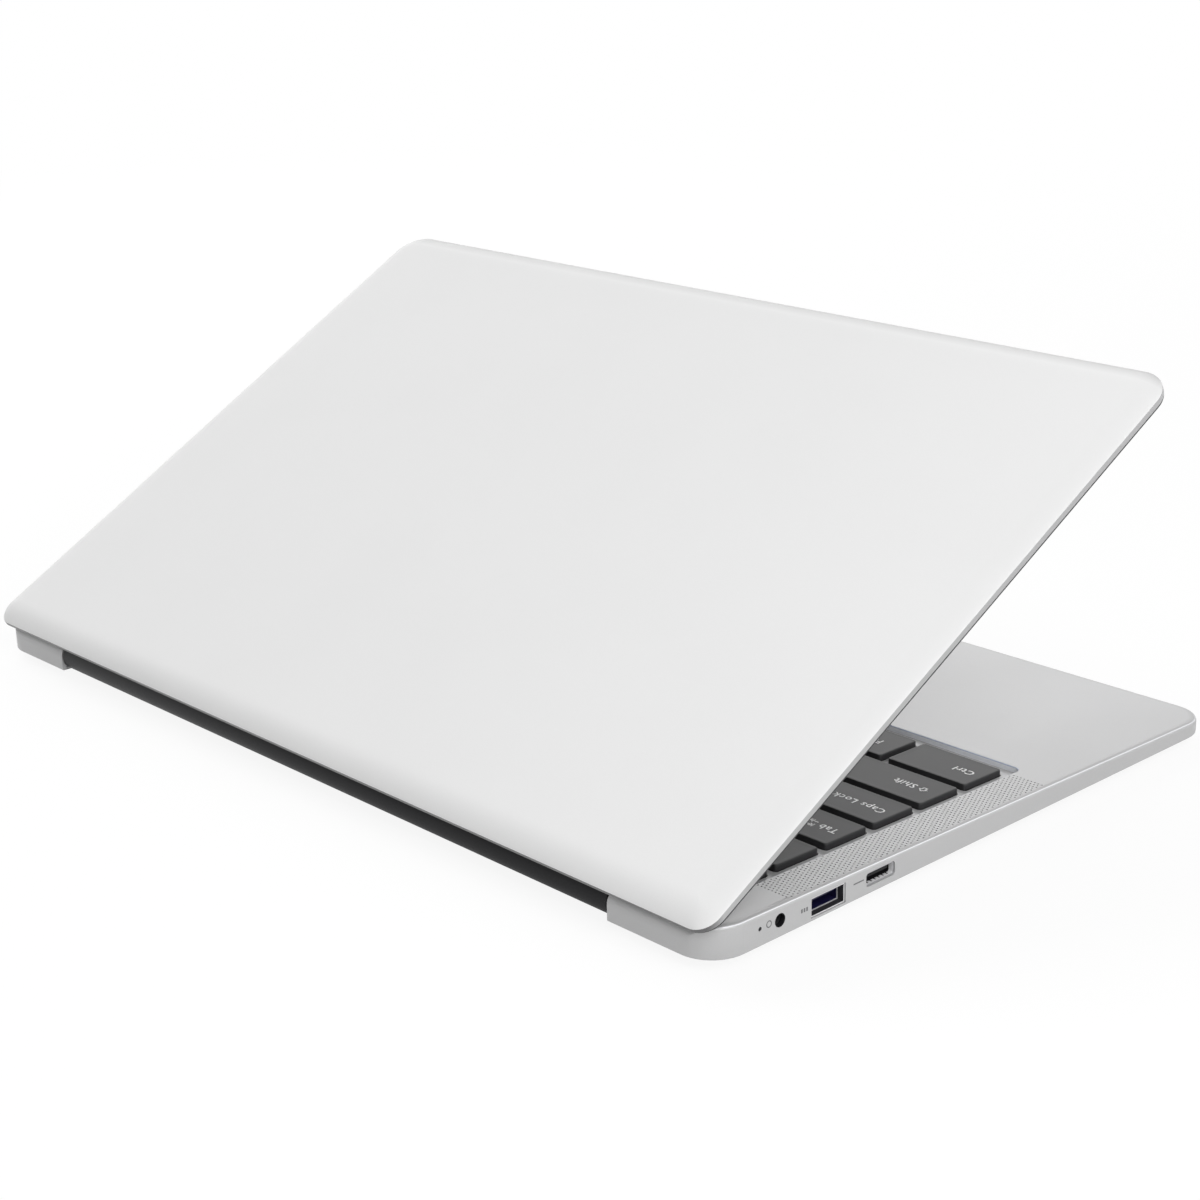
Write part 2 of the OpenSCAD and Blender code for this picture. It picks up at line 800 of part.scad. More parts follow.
// A sheet-metal socket that opens towards +X, with its mouth at the origin
module socket(w, h, tongue_h, tongue_z) {
    difference() {
        box([-port_l, -w / 2, -h / 2], [0, w / 2, h / 2]);
        box([-port_l + 1, -w / 2 + port_shell_t, -h / 2 + port_shell_t],
            [cut, w / 2 - port_shell_t, h / 2 - port_shell_t]);
    }
    box([-port_l + 0.5, -w / 2 + 1, tongue_z - tongue_h / 2], [-1.2, w / 2 - 1, tongue_z + tongue_h / 2]);
}

module usb_port(side) {
    color("#4a4f66") mirror([side, 0, 0]) translate([port_x, usb_y, usb_z]) {
        socket(usb_w, usb_h, 1.8, 0.9);
    }
}

module video_port() {
    in_w = video_w - 2 * port_shell_t;
    in_h = video_h - 2 * port_shell_t;
    color("#55565a") mirror([1, 0, 0]) translate([port_x, video_y, video_z]) {
        difference() {
            bar_x(video_w, video_h, video_corner_r, -port_l, 0);
            bar_x(in_w, in_h, video_corner_r - port_shell_t, 1 - port_l, cut);
        }
        box([-port_l + 0.5, 1.2 - in_w / 2, 0], [-1.2, in_w / 2 - 1.2, 0.7]);
    }
}

// A round socket in a block, opening towards +X
module round_jack(y, z, hole_r, length, width, low_z, high_z) {
    difference() {
        box([jack_x - length, y - width / 2, low_z], [jack_x, y + width / 2, high_z]);
        translate([jack_x, y, z]) rod_x(hole_r, jack_end_wall - length, cut);
    }
}

module power_jack() {
    width = 7;
    length = port_l - 1.5;
    color("#1c1c1e") mirror([1, 0, 0]) {
        round_jack(power_y, power_z, power_r, length, width, board_top,
                   deck_z(power_y - width / 2) - deck_t - fit);
        translate([jack_x, power_y, power_z]) rod_x(0.5, jack_end_wall / 2 - length, -1);
    }
}

module headphone_jack() {
    color("#1c1c1e") round_jack(video_y, headphone_z, headphone_r, headphone_l, headphone_body_w,
                                headphone_z - headphone_body_h / 2, headphone_z + headphone_body_h / 2);
}

module card_slot() {
    color("#8a8c90") translate([port_x - 1.5, card_y, board_top]) difference() {
        box([-port_l + 1.5, -card_w / 2 - 1, 0], [0, card_w / 2 + 1, card_h + 0.4]);
        box([-port_l + 3, -card_w / 2, 0.2], [cut, card_w / 2, card_h + 0.2]);
    }
}

module charge_light() {
    color("white") mirror([1, 0, 0]) translate([0, light_y, light_z]) {
        rod_x(light_r, base_w / 2 - case_wall - 2, base_w / 2 - 0.1);
        box([base_w / 2 - case_wall - 2.4, -1, board_top - light_z],
            [base_w / 2 - case_wall - fit, 1, 0.8]);
    }
}

// --- Hinges -----------------------------------------------------------------------------

module hinge_bracket() {
    front_y = well_rear_y + 1.5 - hinge_y;
    knuckle_end = knuckle_x + knuckle_l;
    translate([0, hinge_y, hinge_z]) difference() {
        union() {
            rod_x(knuckle_r, knuckle_x, knuckle_end);
            box([knuckle_x, front_y, -hinge_plate_t / 2],
                [knuckle_x + bracket_w, -knuckle_r + 1.5, hinge_plate_t / 2]);
            box([knuckle_x, -knuckle_r, -hinge_plate_t / 2], [knuckle_end, 0, hinge_plate_t / 2]);
            translate([0, 0, hinge_plate_t / 2]) intersection() {
                translate([knuckle_x + bracket_w - 4, front_y + 5, 0]) cylinder(h = far, r = 2.5);
                translate([0, -hinge_y, -hinge_z - hinge_plate_t / 2]) below_deck(deck_t + 0.01);
            }
        }
        rod_x(shaft_r + shaft_clear, knuckle_x - cut, knuckle_end + cut);
    }
}

module hinge_bracket_right() {
    color("lightslategray") hinge_bracket();
}

module hinge_bracket_left() {
    color("lightslategray") mirror([1, 0, 0]) hinge_bracket();
}

module hinge_arm() {
    lid_frame() difference() {
        union() {
            rod_x(shaft_r, leaf_x - leaf_w, knuckle_x + knuckle_l - 0.5);
            box([leaf_x - leaf_w, -tab_y, 0], [leaf_x, tab_y, leaf_z + hinge_plate_t]);
            box([leaf_x - leaf_w, leaf_front_y, leaf_z], [leaf_x, leaf_rear_y, leaf_z + hinge_plate_t]);
        }
        for (x = leaf_screw_x) {
            translate([x, leaf_screw_y, leaf_z - cut]) cylinder(h = far, r = screw_r + thread_air);
        }
    }
}

module hinge_arm_right() {
    color("lightslategray") hinge_arm();
}

module hinge_arm_left() {
    color("lightslategray") mirror([1, 0, 0]) hinge_arm();
}

module hinge_cover() {
    half = hinge_cover_l / 2;
    color("#2a2a2c") lid_frame() difference() {
        union() {
            rod_x(barrel_r, -half, half);
            box([-half, neck_front_y, 0], [half, neck_rear_y, bezel_face_z]);
        }
        rod_x(barrel_r - barrel_wall, -half + barrel_wall, half - barrel_wall);
        box([-half + barrel_wall, neck_front_y + barrel_wall, 0],
            [half - barrel_wall, neck_inner_rear_y, bezel_face_z + cut]);
        rod_x(shaft_hole_r, -half - cut, half + cut);
    }
}

// --- Lid --------------------------------------------------------------------------------

// The lid's corners turn more tightly at the hinge, as far as its curved edge allows
module lid_outline(inset) {
    for (end = [[-1, lid_corner_r - inset], [1, lid_curve_w - inset]]) {
        w = base_w - 2 * inset;
        d = lid_d / 2 - inset;
        translate([0, end[0] * d / 2]) square([w - 2 * end[1], d], center = true);
        translate([0, end[0] * (d - end[1]) / 2]) square([w, d - end[1]], center = true);
        for (sx = [-1, 1]) {
            translate([sx * (w / 2 - end[1]), end[0] * (d - end[1])]) circle(end[1]);
        }
    }
}

// Solid form of the back cover, or of the hollow in it: a straight edge, then a round that
// runs into the flat outer face
module lid_form(inset, low_z, edge_z, top_z, curve_w) {
    rise = top_z - edge_z;
    round_r = (curve_w * curve_w + rise * rise) / (2 * rise);
    turn = asin(curve_w / round_r);
    curve = [for (k = [0:6]) let(a = turn * (1 - k / 6))
        [curve_w - round_r * sin(a), top_z - round_r * (1 - cos(a))]];
    translate([0, lid_mid_y, 0]) {
        edged_form(base_w - 2 * inset, lid_d - 2 * inset, lid_corner_r - inset, curve_w,
                   concat([[0, low_z]], curve));
    }
}

module lid_back_cover() {
    boss_r = 2.4;
    color("whitesmoke") lid_frame() {
        difference() {
            lid_form(0, rim_z, rim_z + lid_edge_h, rim_z + lid_t, lid_curve_w);
            lid_form(lid_skin_t, rim_z - cut, rim_z + lid_edge_h - lid_skin_t * 0.3, skin_z,
                     lid_curve_w - lid_skin_t);
        }
        both_sides() for (x = leaf_screw_x) {
            translate([x, leaf_screw_y, leaf_z + hinge_plate_t]) difference() {
                cylinder(h = skin_z + lid_skin_t / 2 - leaf_z - hinge_plate_t, r = boss_r);
                translate([0, 0, -cut]) cylinder(h = cut + 1.4, r = screw_r + thread_air);
            }
        }
    }
}

module screen_bezel() {
    color("#1b1b1d") lid_frame() difference() {
        translate([0, lid_mid_y, bezel_face_z]) linear_extrude(bezel_t) lid_outline(bezel_inset);
        translate([0, screen_mid_y, bezel_face_z - cut]) {
            linear_extrude(far) square([screen_w, screen_d], center = true);
        }
        translate([0, webcam_y, bezel_face_z - cut]) cylinder(h = far, r = webcam_lens_r + fit);
        both_sides() box([leaf_x - leaf_w - fit, -tab_y - fit, 0], [leaf_x + fit, tab_y + fit, far]);
        box([cable_x - fit, cable_y - fit, 0], [cable_x + cable_w + fit, cable_y + cable_t + fit, far]);
    }
}

module display_panel() {
    color("#15171c") lid_frame() {
        box([-panel_w / 2, panel_front_y, bezel_back_z], [panel_w / 2, panel_rear_y, bezel_back_z + panel_t]);
    }
}

module bezel_bumpers() {
    side_x = base_w / 2 - 6;
    places = [for (sx = [-1, 1]) for (p = [
        [side_x, lid_mid_y + lid_d / 5], [side_x, lid_mid_y - lid_d / 5],
        [pad_w / 2 + 17, free_y + 4.6]]) [sx * p[0], p[1]]];
    color("#2e2e30") lid_frame() for (p = places) {
        translate([p[0], p[1], bezel_face_z - bumper_h]) cylinder(h = bumper_h, r = 2.2);
    }
}

module webcam() {
    color("#101114") lid_frame() {
        box([-28, webcam_y - 2, bezel_back_z], [28, webcam_y + 1.8, bezel_back_z + 1]);
        translate([0, webcam_y, bezel_face_z + 0.2]) cylinder(h = bezel_t, r = webcam_lens_r);
    }
}

module wifi_antennas() {
    color("#70706a") lid_frame() both_sides() {
        box([80, webcam_y - 2, bezel_back_z], [120, webcam_y + 1.8, bezel_back_z + 0.4]);
    }
}

module display_cable() {
    back_z = bezel_back_z + panel_t;
    x1 = cable_x + cable_w;
    color("#33343a") lid_frame() {
        box([cable_x, panel_rear_y - 12, back_z], [x1 + 12, panel_rear_y - 6, back_z + cable_t]);
        box([cable_x, panel_rear_y - 12, back_z], [x1, cable_y + cable_t, back_z + cable_t]);
        box([cable_x, cable_y, 0], [x1, cable_y + cable_t, back_z + cable_t]);
    }
}

module lid_screws() {
    color("gray") lid_frame() both_sides() for (x = leaf_screw_x) {
        translate([x, leaf_screw_y, leaf_z - 0.2]) {
            cylinder(h = 0.2, r = screw_head_r);
            cylinder(h = 0.2 + hinge_plate_t + 1.2, r = screw_r);
        }
    }
}

top_case();
bottom_cover();
rubber_feet();
bottom_screws();
keyboard_plate();
motherboard();
processor_chips();
heat_spreader();
storage_card();
wifi_card();
battery_pack();
speaker(1);  // speaker_left
speaker(0);  // speaker_right
io_board();
io_ribbon();
power_jack();
usb_port(1);  // usb_port_left
video_port();
charge_light();
usb_port(0);  // usb_port_right
card_slot();
headphone_jack();
hinge_bracket_left();
hinge_bracket_right();
touchpad_bracket();
touchpad();
lid_back_cover();
screen_bezel();
display_panel();
bezel_bumpers();
webcam();
wifi_antennas();
display_cable();
hinge_cover();
hinge_arm_left();
hinge_arm_right();
lid_screws();
keycaps("key_escape");  // key_escape
keycaps("function_keys");  // function_keys
keycaps("key_power");  // key_power
keycaps("key_backquote");  // key_backquote
keycaps("number_keys");  // number_keys
keycaps("key_backspace");  // key_backspace
keycaps("key_tab");  // key_tab
keycaps("upper_letter_keys");  // upper_letter_keys
keycaps("key_caps_lock");  // key_caps_lock
keycaps("home_letter_keys");  // home_letter_keys
keycaps("key_enter");  // key_enter
keycaps("key_shift_left");  // key_shift_left
keycaps("lower_letter_keys");  // lower_letter_keys
keycaps("key_shift_right");  // key_shift_right
keycaps("key_ctrl_left");  // key_ctrl_left
keycaps("modifier_keys");  // modifier_keys
keycaps("key_space");  // key_space
keycaps("navigation_keys");  // navigation_keys
keycaps("key_arrow_up");  // key_arrow_up
keycaps("key_arrow_left");  // key_arrow_left
keycaps("key_arrow_down");  // key_arrow_down
keycaps("key_arrow_right");  // key_arrow_right
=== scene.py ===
"""Looks of the laptop computer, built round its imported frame.

Lengths are in millimetres until a mesh is finished. Three places are used: the row frame, the
sloping deck (Y back from the front edge, Z = 0 on its face) and the lid (on the hinge axis, +Z
out of the back cover, -Y towards the free edge).
"""
import math

import bmesh
import bpy
from mathutils import Matrix, Vector


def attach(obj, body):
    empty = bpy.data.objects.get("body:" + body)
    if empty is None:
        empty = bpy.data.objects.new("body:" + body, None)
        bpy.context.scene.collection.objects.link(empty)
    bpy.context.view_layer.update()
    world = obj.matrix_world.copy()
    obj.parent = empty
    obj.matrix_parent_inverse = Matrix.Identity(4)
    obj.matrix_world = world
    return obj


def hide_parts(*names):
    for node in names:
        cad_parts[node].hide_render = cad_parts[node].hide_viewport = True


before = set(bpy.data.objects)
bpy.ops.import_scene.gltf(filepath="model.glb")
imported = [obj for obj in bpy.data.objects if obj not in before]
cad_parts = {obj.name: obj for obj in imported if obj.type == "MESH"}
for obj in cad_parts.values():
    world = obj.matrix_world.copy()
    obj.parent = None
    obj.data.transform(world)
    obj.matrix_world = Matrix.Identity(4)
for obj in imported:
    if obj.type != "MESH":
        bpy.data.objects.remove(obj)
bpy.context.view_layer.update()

# --- Sizes ---------------------------------------------------------------------------------

METRES = 0.001
base_w, base_d, base_r = 333.0, 213.0, 11.0
wall_front_h, wall_rear_h = 4.5, 9.2
foot_h, pan_drop = 1.2, 2.0
wall_z = foot_h + pan_drop
deck_slope = (wall_rear_h - wall_front_h) / base_d
deck_tilt = math.atan(deck_slope)
hinge_r = 4.6
hinge_y = base_d / 2 - hinge_r
hinge_z = wall_z + wall_front_h + (hinge_y + base_d / 2) * deck_slope - hinge_r / math.cos(deck_tilt)
lid_open = math.radians(29.9)

palm_d, strip_d, side_w = 75.6, 25.6, 12.95
well_w, well_d, well_r = base_w - 2 * side_w, base_d - palm_d - strip_d, 2.0
key_gap, row_gap, short_key_d = 2.6, 2.8, 8.6
keys_w = well_w - 2 * 3.4
keys_front = palm_d + 4.2
row_units = 15.9
key_pitch = (keys_w + key_gap) / row_units
row_pitch = (well_d - 4.2 - 3.0 - short_key_d) / 5
key_d = row_pitch - row_gap
cap_h, cap_proud, cap_r = 2.1, 0.2, 0.9

pad_w, pad_d, pad_front = 106.0, 61.0, 8.5

hinge_gap_w = 259.0

usb_y, video_y, power_y = 64.6, 44.5, 82.6
usb_z, video_z, power_z = 6.875, 7.3, 7.873
usb_w, usb_h, video_w, video_h = 12.8, 5.4, 11.2, 3.8
port_mouth, port_l, shell_t = base_w / 2 - 0.3, 14.0, 0.35
power_r = 1.85

lid_d, lid_t, lid_r, lid_back = 213.0, 4.8, 10.5, 3.3
lid_edge_h, lid_curve_w, lid_skin, lid_rear_r = 2.1, 8.0, 1.0, 6.5
lip_drop, crease_drop = 0.4, 1.0
rim_z = hinge_r + 1.9
lid_mid_y = lid_back - lid_d / 2
free_y = lid_back - lid_d
bezel_face_z = rim_z - 0.3

ROW = Matrix.Identity(4)
DECK = Matrix.Translation((0, -base_d / 2, wall_z + wall_front_h)) @ Matrix.Rotation(deck_tilt, 4, "X")
LID = Matrix.Translation((0, hinge_y, hinge_z)) @ Matrix.Rotation(deck_tilt - lid_open, 4, "X")
# out of a side wall: X to the right as one faces it, Y up, Z towards the viewer
OUT_LEFT = Matrix(((0, 0, -1, 0), (-1, 0, 0, 0), (0, 1, 0, 0), (0, 0, 0, 1)))
OUT_RIGHT = Matrix(((0, 0, 1, 0), (1, 0, 0, 0), (0, 1, 0, 0), (0, 0, 0, 1)))
AXES = [Vector(v) for v in ((1, 0, 0), (0, 1, 0), (0, 0, 1))]


def deck_height(y):
    """Height of the deck's face at a row-frame Y."""
    return wall_z + wall_front_h + (y + base_d / 2) * deck_slope


# --- Node trees ----------------------------------------------------------------------------


class Wire:
    """A node's output. Python's operators on it add Math nodes to its tree."""

    def __init__(self, tree, socket):
        self.tree, self.socket = tree, socket

    def output(self, name):
        return Wire(self.tree, self.socket.node.outputs[name])

    def math(self, operation, *values):
        return make(self.tree, "ShaderNodeMath", {"operation": operation}, dict(enumerate(values)))

    def __add__(self, other):
        return self.math("ADD", self, other)

    def __sub__(self, other):
        return self.math("SUBTRACT", self, other)

    def __rsub__(self, other):
        return self.math("SUBTRACT", other, self)

    def __mul__(self, other):
        return self.math("MULTIPLY", self, other)

    def __truediv__(self, other):
        return self.math("DIVIDE", self, other)

    def __mod__(self, other):
        return self.math("FLOORED_MODULO", self, other)

    __radd__, __rmul__ = __add__, __mul__


def make(tree, kind, settings=None, sockets=None, output=0):
    """Adds a node: its settings first, then its sockets' values or links."""
    node = tree.nodes.new(kind)
    for name, value in (settings or {}).items():
        if name == "stops":
            ramp = node.color_ramp
            while len(ramp.elements) < len(value):
                ramp.elements.new(0.5)
            for element, (place, level) in zip(ramp.elements, value):
                element.position, element.color = place, (level, level, level, 1)
        else:
            setattr(node, name, value)
    for name, value in (sockets or {}).items():
        if isinstance(value, Wire):
            tree.links.new(value.socket, node.inputs[name])
        else:
            node.inputs[name].default_value = value
    return Wire(tree, node.outputs[output]) if node.outputs else node


class Finish:
    """A material round one Principled shader. Constants go on the shader's own sockets."""

    def __init__(self, name, colour, roughness, metallic=0.0, **constants):
        self.material = bpy.data.materials.new(name)
        self.material.use_nodes = True
        self.tree = self.material.node_tree
        self.tree.nodes.clear()
        sockets = {"Base Color": (*colour, 1), "Roughness": roughness, "Metallic": metallic}
        sockets.update({key.replace("_", " "): value for key, value in constants.items()})
        self.shader = make(self.tree, "ShaderNodeBsdfPrincipled", None, sockets)
        self.end = make(self.tree, "ShaderNodeOutputMaterial", None, {"Surface": self.shader})
        self.place = make(self.tree, "ShaderNodeTexCoord", output="Object")
        self.colour = colour

    def noise(self, scale, detail=2.0, stretch=(1, 1, 1)):
        where = make(self.tree, "ShaderNodeMapping", None, {"Vector": self.place, "Scale": stretch})
        return make(self.tree, "ShaderNodeTexNoise", None,
                    {"Vector": where, "Scale": scale, "Detail": detail})

    def ramp(self, value, low, high):
        return make(self.tree, "ShaderNodeMapRange", None,
                    {0: value, 1: low, 2: high, 3: 0.0, 4: 1.0})

    def drive(self, socket, value):
        self.tree.links.new(value.socket, self.shader.socket.node.inputs[socket])

    def shade(self, mask, other):
        """Mixes another colour in where the mask is 1."""
        node = self.shader.socket.node.inputs["Base Color"]
        under = Wire(self.tree, node.links[0].from_socket) if node.links else (*self.colour, 1)
        mixed = make(self.tree, "ShaderNodeMix", {"data_type": "RGBA"},
                     {0: mask, 6: under, 7: (*other, 1)}, output=2)
        self.drive("Base Color", mixed)

    def cover(self, surface):
        """Ends the material in another shader."""
        self.tree.links.new(surface.socket, self.end.inputs["Surface"])

    def bump(self, height, distance, strength=1.0):
        """Adds relief of a real depth, in metres, on top of what is there."""
        socket = self.shader.socket.node.inputs["Normal"]
        sockets = {"Height": height, "Distance": distance, "Strength": strength}
        if socket.links:
            sockets["Normal"] = Wire(self.tree, socket.links[0].from_socket)
        self.drive("Normal", make(self.tree, "ShaderNodeBump", None, sockets))


def grained(name, colour, roughness, grain, depth, metallic=0.0, tone=0.9, spread=0.05, **constants):
    """A finish with a fine grain in its colour, gloss and relief, and a faint broad unevenness."""
    finish = Finish(name, colour, roughness, metallic, **constants)
    fine = finish.noise(grain)
    broad = finish.noise(25, 3)
    finish.shade(finish.ramp(fine, 0.35, 0.75) * 0.5 + finish.ramp(broad, 0.4, 0.7) * 0.3,
                 [c * tone for c in colour])
    finish.drive("Roughness", (fine - 0.5) * spread + (broad - 0.5) * spread + roughness)
    finish.bump(fine, depth)
    return finish


# --- Finishes ------------------------------------------------------------------------------

lid_paint = grained("lid silver paint", (0.75, 0.75, 0.75), 0.5, 2600, 4e-6, tone=0.975,
                    Specular_IOR_Level=0.04)
case_silver = grained("blasted silver case", (0.475, 0.475, 0.478), 0.40, 3200, 6e-6, metallic=0.2,
                      tone=0.94, Specular_IOR_Level=0.3)
rim_silver = grained("silver lid rim", (0.42, 0.42, 0.424), 0.35, 3000, 4e-6, metallic=0.3, tone=0.95)
# partly real, partly painted highlight: the deck edge's diamond-cut facet is painted much lighter than
# the case, standing in for the highlight it catches
cut_edge_highlight = grained("cut edge with painted highlight", (0.88, 0.89, 0.92), 0.25, 900, 2e-6, metallic=0.3, tone=0.97)
well_edge = grained("shaded well edge", (0.42, 0.46, 0.58), 0.3, 1500, 2e-6, tone=0.97)
# painted light: the openings' walls are painted near-white, standing in for light falling on them
well_wall_painted_light = grained("painted light on the well wall", (0.94, 0.96, 1.0), 0.4, 1500, 2e-6, tone=0.98)
well_floor = grained("keyboard floor", (0.62, 0.63, 0.65), 0.4, 2400, 4e-6, metallic=0.2, tone=0.95)
# painted shade: the insides of the holes and slots are painted darker than the case, standing in for the
# shade in them
hole_painted_shade = grained("painted shade inside the holes", (0.40, 0.40, 0.405), 0.6, 3000, 4e-6, tone=0.8)
cover_grey = grained("bottom cover paint", (0.42, 0.42, 0.424), 0.45, 2400, 8e-6, tone=0.93)
print_grey = grained("printed port marks", (0.15, 0.15, 0.155), 0.6, 3000, 2e-6)
rubber = grained("foot rubber", (0.035, 0.035, 0.037), 0.75, 1800, 2e-5, tone=1.5, spread=0.1)
bolt_steel = grained("nickel screws", (0.55, 0.55, 0.56), 0.3, 1500, 4e-6, metallic=1.0)
pressed_steel = grained("pressed steel", (0.42, 0.42, 0.44), 0.35, 700, 6e-6, metallic=1.0)
key_plastic = grained("key plastic", (0.030, 0.030, 0.031), 0.48, 2800, 1.2e-5, tone=1.35,
                      Specular_IOR_Level=0.25)
key_side = grained("shaded side of the keys", (0.014, 0.014, 0.015), 0.5, 2800, 1.2e-5, tone=1.35)
legend_ink = grained("legend ink", (0.85, 0.85, 0.85), 0.55, 3000, 2e-6, tone=0.9)
bezel_black = grained("bezel plastic", (0.013, 0.013, 0.014), 0.45, 2600, 1e-5, tone=1.6)
hinge_black = grained("hinge cover plastic", (0.007, 0.007, 0.008), 0.55, 1500, 3e-5, tone=1.7,
                      Specular_IOR_Level=0.25)
pad_film = grained("touchpad film", (0.46, 0.46, 0.463), 0.26, 4000, 2e-6, tone=0.97)
port_black = grained("port moulding", (0.008, 0.008, 0.009), 0.5, 2500, 6e-6, tone=1.6,
                     Specular_IOR_Level=0.25)
tongue_navy = grained("blue port tongue", (0.010, 0.009, 0.045), 0.35, 2500, 4e-6, tone=1.4)
port_metal = grained("port shell", (0.45, 0.45, 0.47), 0.3, 1200, 4e-6, metallic=0.9)
# painted sheen: the ports' metal lining is painted light grey and barely metallic, standing in for the
# bright reflection of the metal
lining_painted_sheen = grained("port lining with painted sheen", (0.72, 0.72, 0.73), 0.3, 1200, 4e-6, metallic=0.2)
dark_metal = grained("inside of the port shell", (0.045, 0.045, 0.05), 0.4, 1200, 4e-6, metallic=0.5)
gold = grained("gold contacts", (0.75, 0.55, 0.25), 0.25, 1500, 2e-6, metallic=1.0)
light_guide = grained("smoked light guide", (0.012, 0.012, 0.014), 0.3, 2000, 2e-6, tone=1.5,
                      Specular_IOR_Level=0.2)
board_green = grained("solder mask", (0.012, 0.075, 0.035), 0.35, 2200, 4e-6, tone=1.4)
chip_black = grained("moulded chips", (0.025, 0.025, 0.028), 0.5, 2500, 8e-6, tone=1.5)
copper = grained("copper sheet", (0.75, 0.38, 0.22), 0.3, 600, 6e-6, metallic=1.0)
battery_wrap = grained("battery wrap", (0.03, 0.03, 0.034), 0.4, 900, 2e-5, tone=1.5)
flat_cable = grained("flat cable", (0.62, 0.63, 0.65), 0.5, 1800, 4e-6)
camera_glass = grained("camera window", (0.010, 0.010, 0.014), 0.08, 2500, 1e-6, tone=1.5)
screen_glass = grained("dark display", (0.008, 0.0085, 0.010), 0.16, 6000, 1e-6, tone=1.6,
                       Coat_Weight=0.6, Coat_Roughness=0.05)

# tool marks run along the cut edge
marks = cut_edge_highlight.noise(700, 1, (1, 1, 6))
cut_edge_highlight.bump(marks, 3e-6)

# painted shade: the lid's paint is greyer along its curved free edge, standing in for the shade on that
# edge
spot = make(lid_paint.tree, "ShaderNodeSeparateXYZ", None, {0: lid_paint.place}, output="Y")
lid_turn = deck_tilt - lid_open
back_y = (spot - hinge_y * METRES) * math.cos(lid_turn)
back_y = back_y + (spot.output("Z") - hinge_z * METRES) * math.sin(lid_turn)
free_edge_painted_shade = lid_paint.ramp(back_y, (free_y + 6.0) * METRES, (free_y + 0.4) * METRES)
lid_paint.shade(free_edge_painted_shade, (0.53, 0.53, 0.53))

# the lid's rim is in shade along the hinge
behind = make(rim_silver.tree, "ShaderNodeSeparateXYZ", None, {0: rim_silver.place}, output="Y")
shade_from, shade_to = 102.5, 106.5
rim_silver.shade(rim_silver.ramp(behind, shade_from * METRES, shade_to * METRES), (0.12, 0.12, 0.122))

# etched traces on the boards
where = make(board_green.tree, "ShaderNodeMapping", None,
             {"Vector": board_green.place, "Scale": (1, 1, 0)})
traces = make(board_green.tree, "ShaderNodeTexBrick", None,
              {"Vector": where, "Scale": 260.0, "Mortar Size": 0.03}, output="Fac")
board_green.shade(traces, (0.03, 0.16, 0.08))

# --- Mesh building --------------------------------------------------------------------------


def rounded(w, d, front_r, middle=(0, 0), steps=8, rear_r=None):
    """Points of a rounded rectangle, anticlockwise."""
    points = []
    for quarter, (sx, sy) in enumerate(((1, 1), (-1, 1), (-1, -1), (1, -1))):
        r = max(front_r if sy < 0 or rear_r is None else rear_r, 0.01)
        for i in range(steps + 1):
            a = math.radians(90 * (quarter + i / steps))
            points.append((middle[0] + sx * (w / 2 - r) + r * math.cos(a),
                           middle[1] + sy * (d / 2 - r) + r * math.sin(a)))
    return points


def round_loop(r, z, middle=(0, 0), sides=32):
    return [(middle[0] + r * math.cos(2 * math.pi * i / sides),
             middle[1] + r * math.sin(2 * math.pi * i / sides), z) for i in range(sides)]


class Form:
    """Points and faces of a piece, each face with the number of its finish."""

    def __init__(self):
        self.points, self.faces, self.kinds = [], [], []

    def add(self, points, faces, kinds, place=ROW):
        first = len(self.points)
        self.points += [place @ Vector(p) for p in points]
        self.faces += [[first + i for i in face] for face in faces]
        self.kinds += kinds

    def loft(self, loops, kind=0, ring=False, place=ROW):
        """Skin through loops of equal length: closed by two end faces, or into a ring. `kind` is
        one finish, or a list with one for each strip."""
        n = len(loops[0])
        faces, kinds = [], []
        pairs = list(zip(range(len(loops)), range(1, len(loops)))) + [(len(loops) - 1, 0)] * ring
        for strip, (a, b) in enumerate(pairs):
            faces += [[a * n + i, a * n + (i + 1) % n, b * n + (i + 1) % n, b * n + i] for i in range(n)]
            kinds += [kind[strip] if isinstance(kind, list) else kind] * n
        if not ring:
            faces += [list(range(n))[::-1], list(range(n * (len(loops) - 1), n * len(loops)))]
            kinds += [kinds[0], kinds[-1]]
        self.add([p for loop in loops for p in loop], faces, kinds, place)

    def block(self, low, high, kind=0, place=ROW):
        (x0, y0, z0), (x1, y1, z1) = low, high
        self.loft([[(x0, y0, z), (x1, y0, z), (x1, y1, z), (x0, y1, z)] for z in (z0, z1)], kind,
                  place=place)

    def prism(self, outline, z0, z1, kind=0, place=ROW):
        self.loft([[(x, y, z) for x, y in outline] for z in (z0, z1)], kind, place=place)

    def object(self, name, finishes, place=ROW):
        mesh = bpy.data.meshes.new(name)
        mesh.from_pydata([place @ p * METRES for p in self.points], [], self.faces)
        mesh.polygons.foreach_set("material_index", self.kinds)
        turned = bmesh.new()
        turned.from_mesh(mesh)
        bmesh.ops.recalc_face_normals(turned, faces=turned.faces)
        turned.to_mesh(mesh)
        turned.free()
        for finish in finishes:
            mesh.materials.append(finish.material)
        return add_object(name, mesh)


def add_object(name, mesh):
    obj = bpy.data.objects.new(name, mesh)
    bpy.context.scene.collection.objects.link(obj)
    return obj


def settle(obj):
    """Turns an object with its modifiers into a plain mesh."""
    shown = obj.evaluated_get(bpy.context.evaluated_depsgraph_get())
    mesh = bpy.data.meshes.new_from_object(shown)
    obj.modifiers.clear()
    obj.data = mesh
    return obj


def carve(obj, cutter, operation="DIFFERENCE"):
    """Cuts with another object and removes it. New faces keep the cutter's finish."""
    step = obj.modifiers.new("cut", "BOOLEAN")
    step.operation, step.solver, step.object = operation, "MANIFOLD", cutter
    step.material_mode = "TRANSFER"
    settle(obj)
    bpy.data.objects.remove(cutter)
    return obj


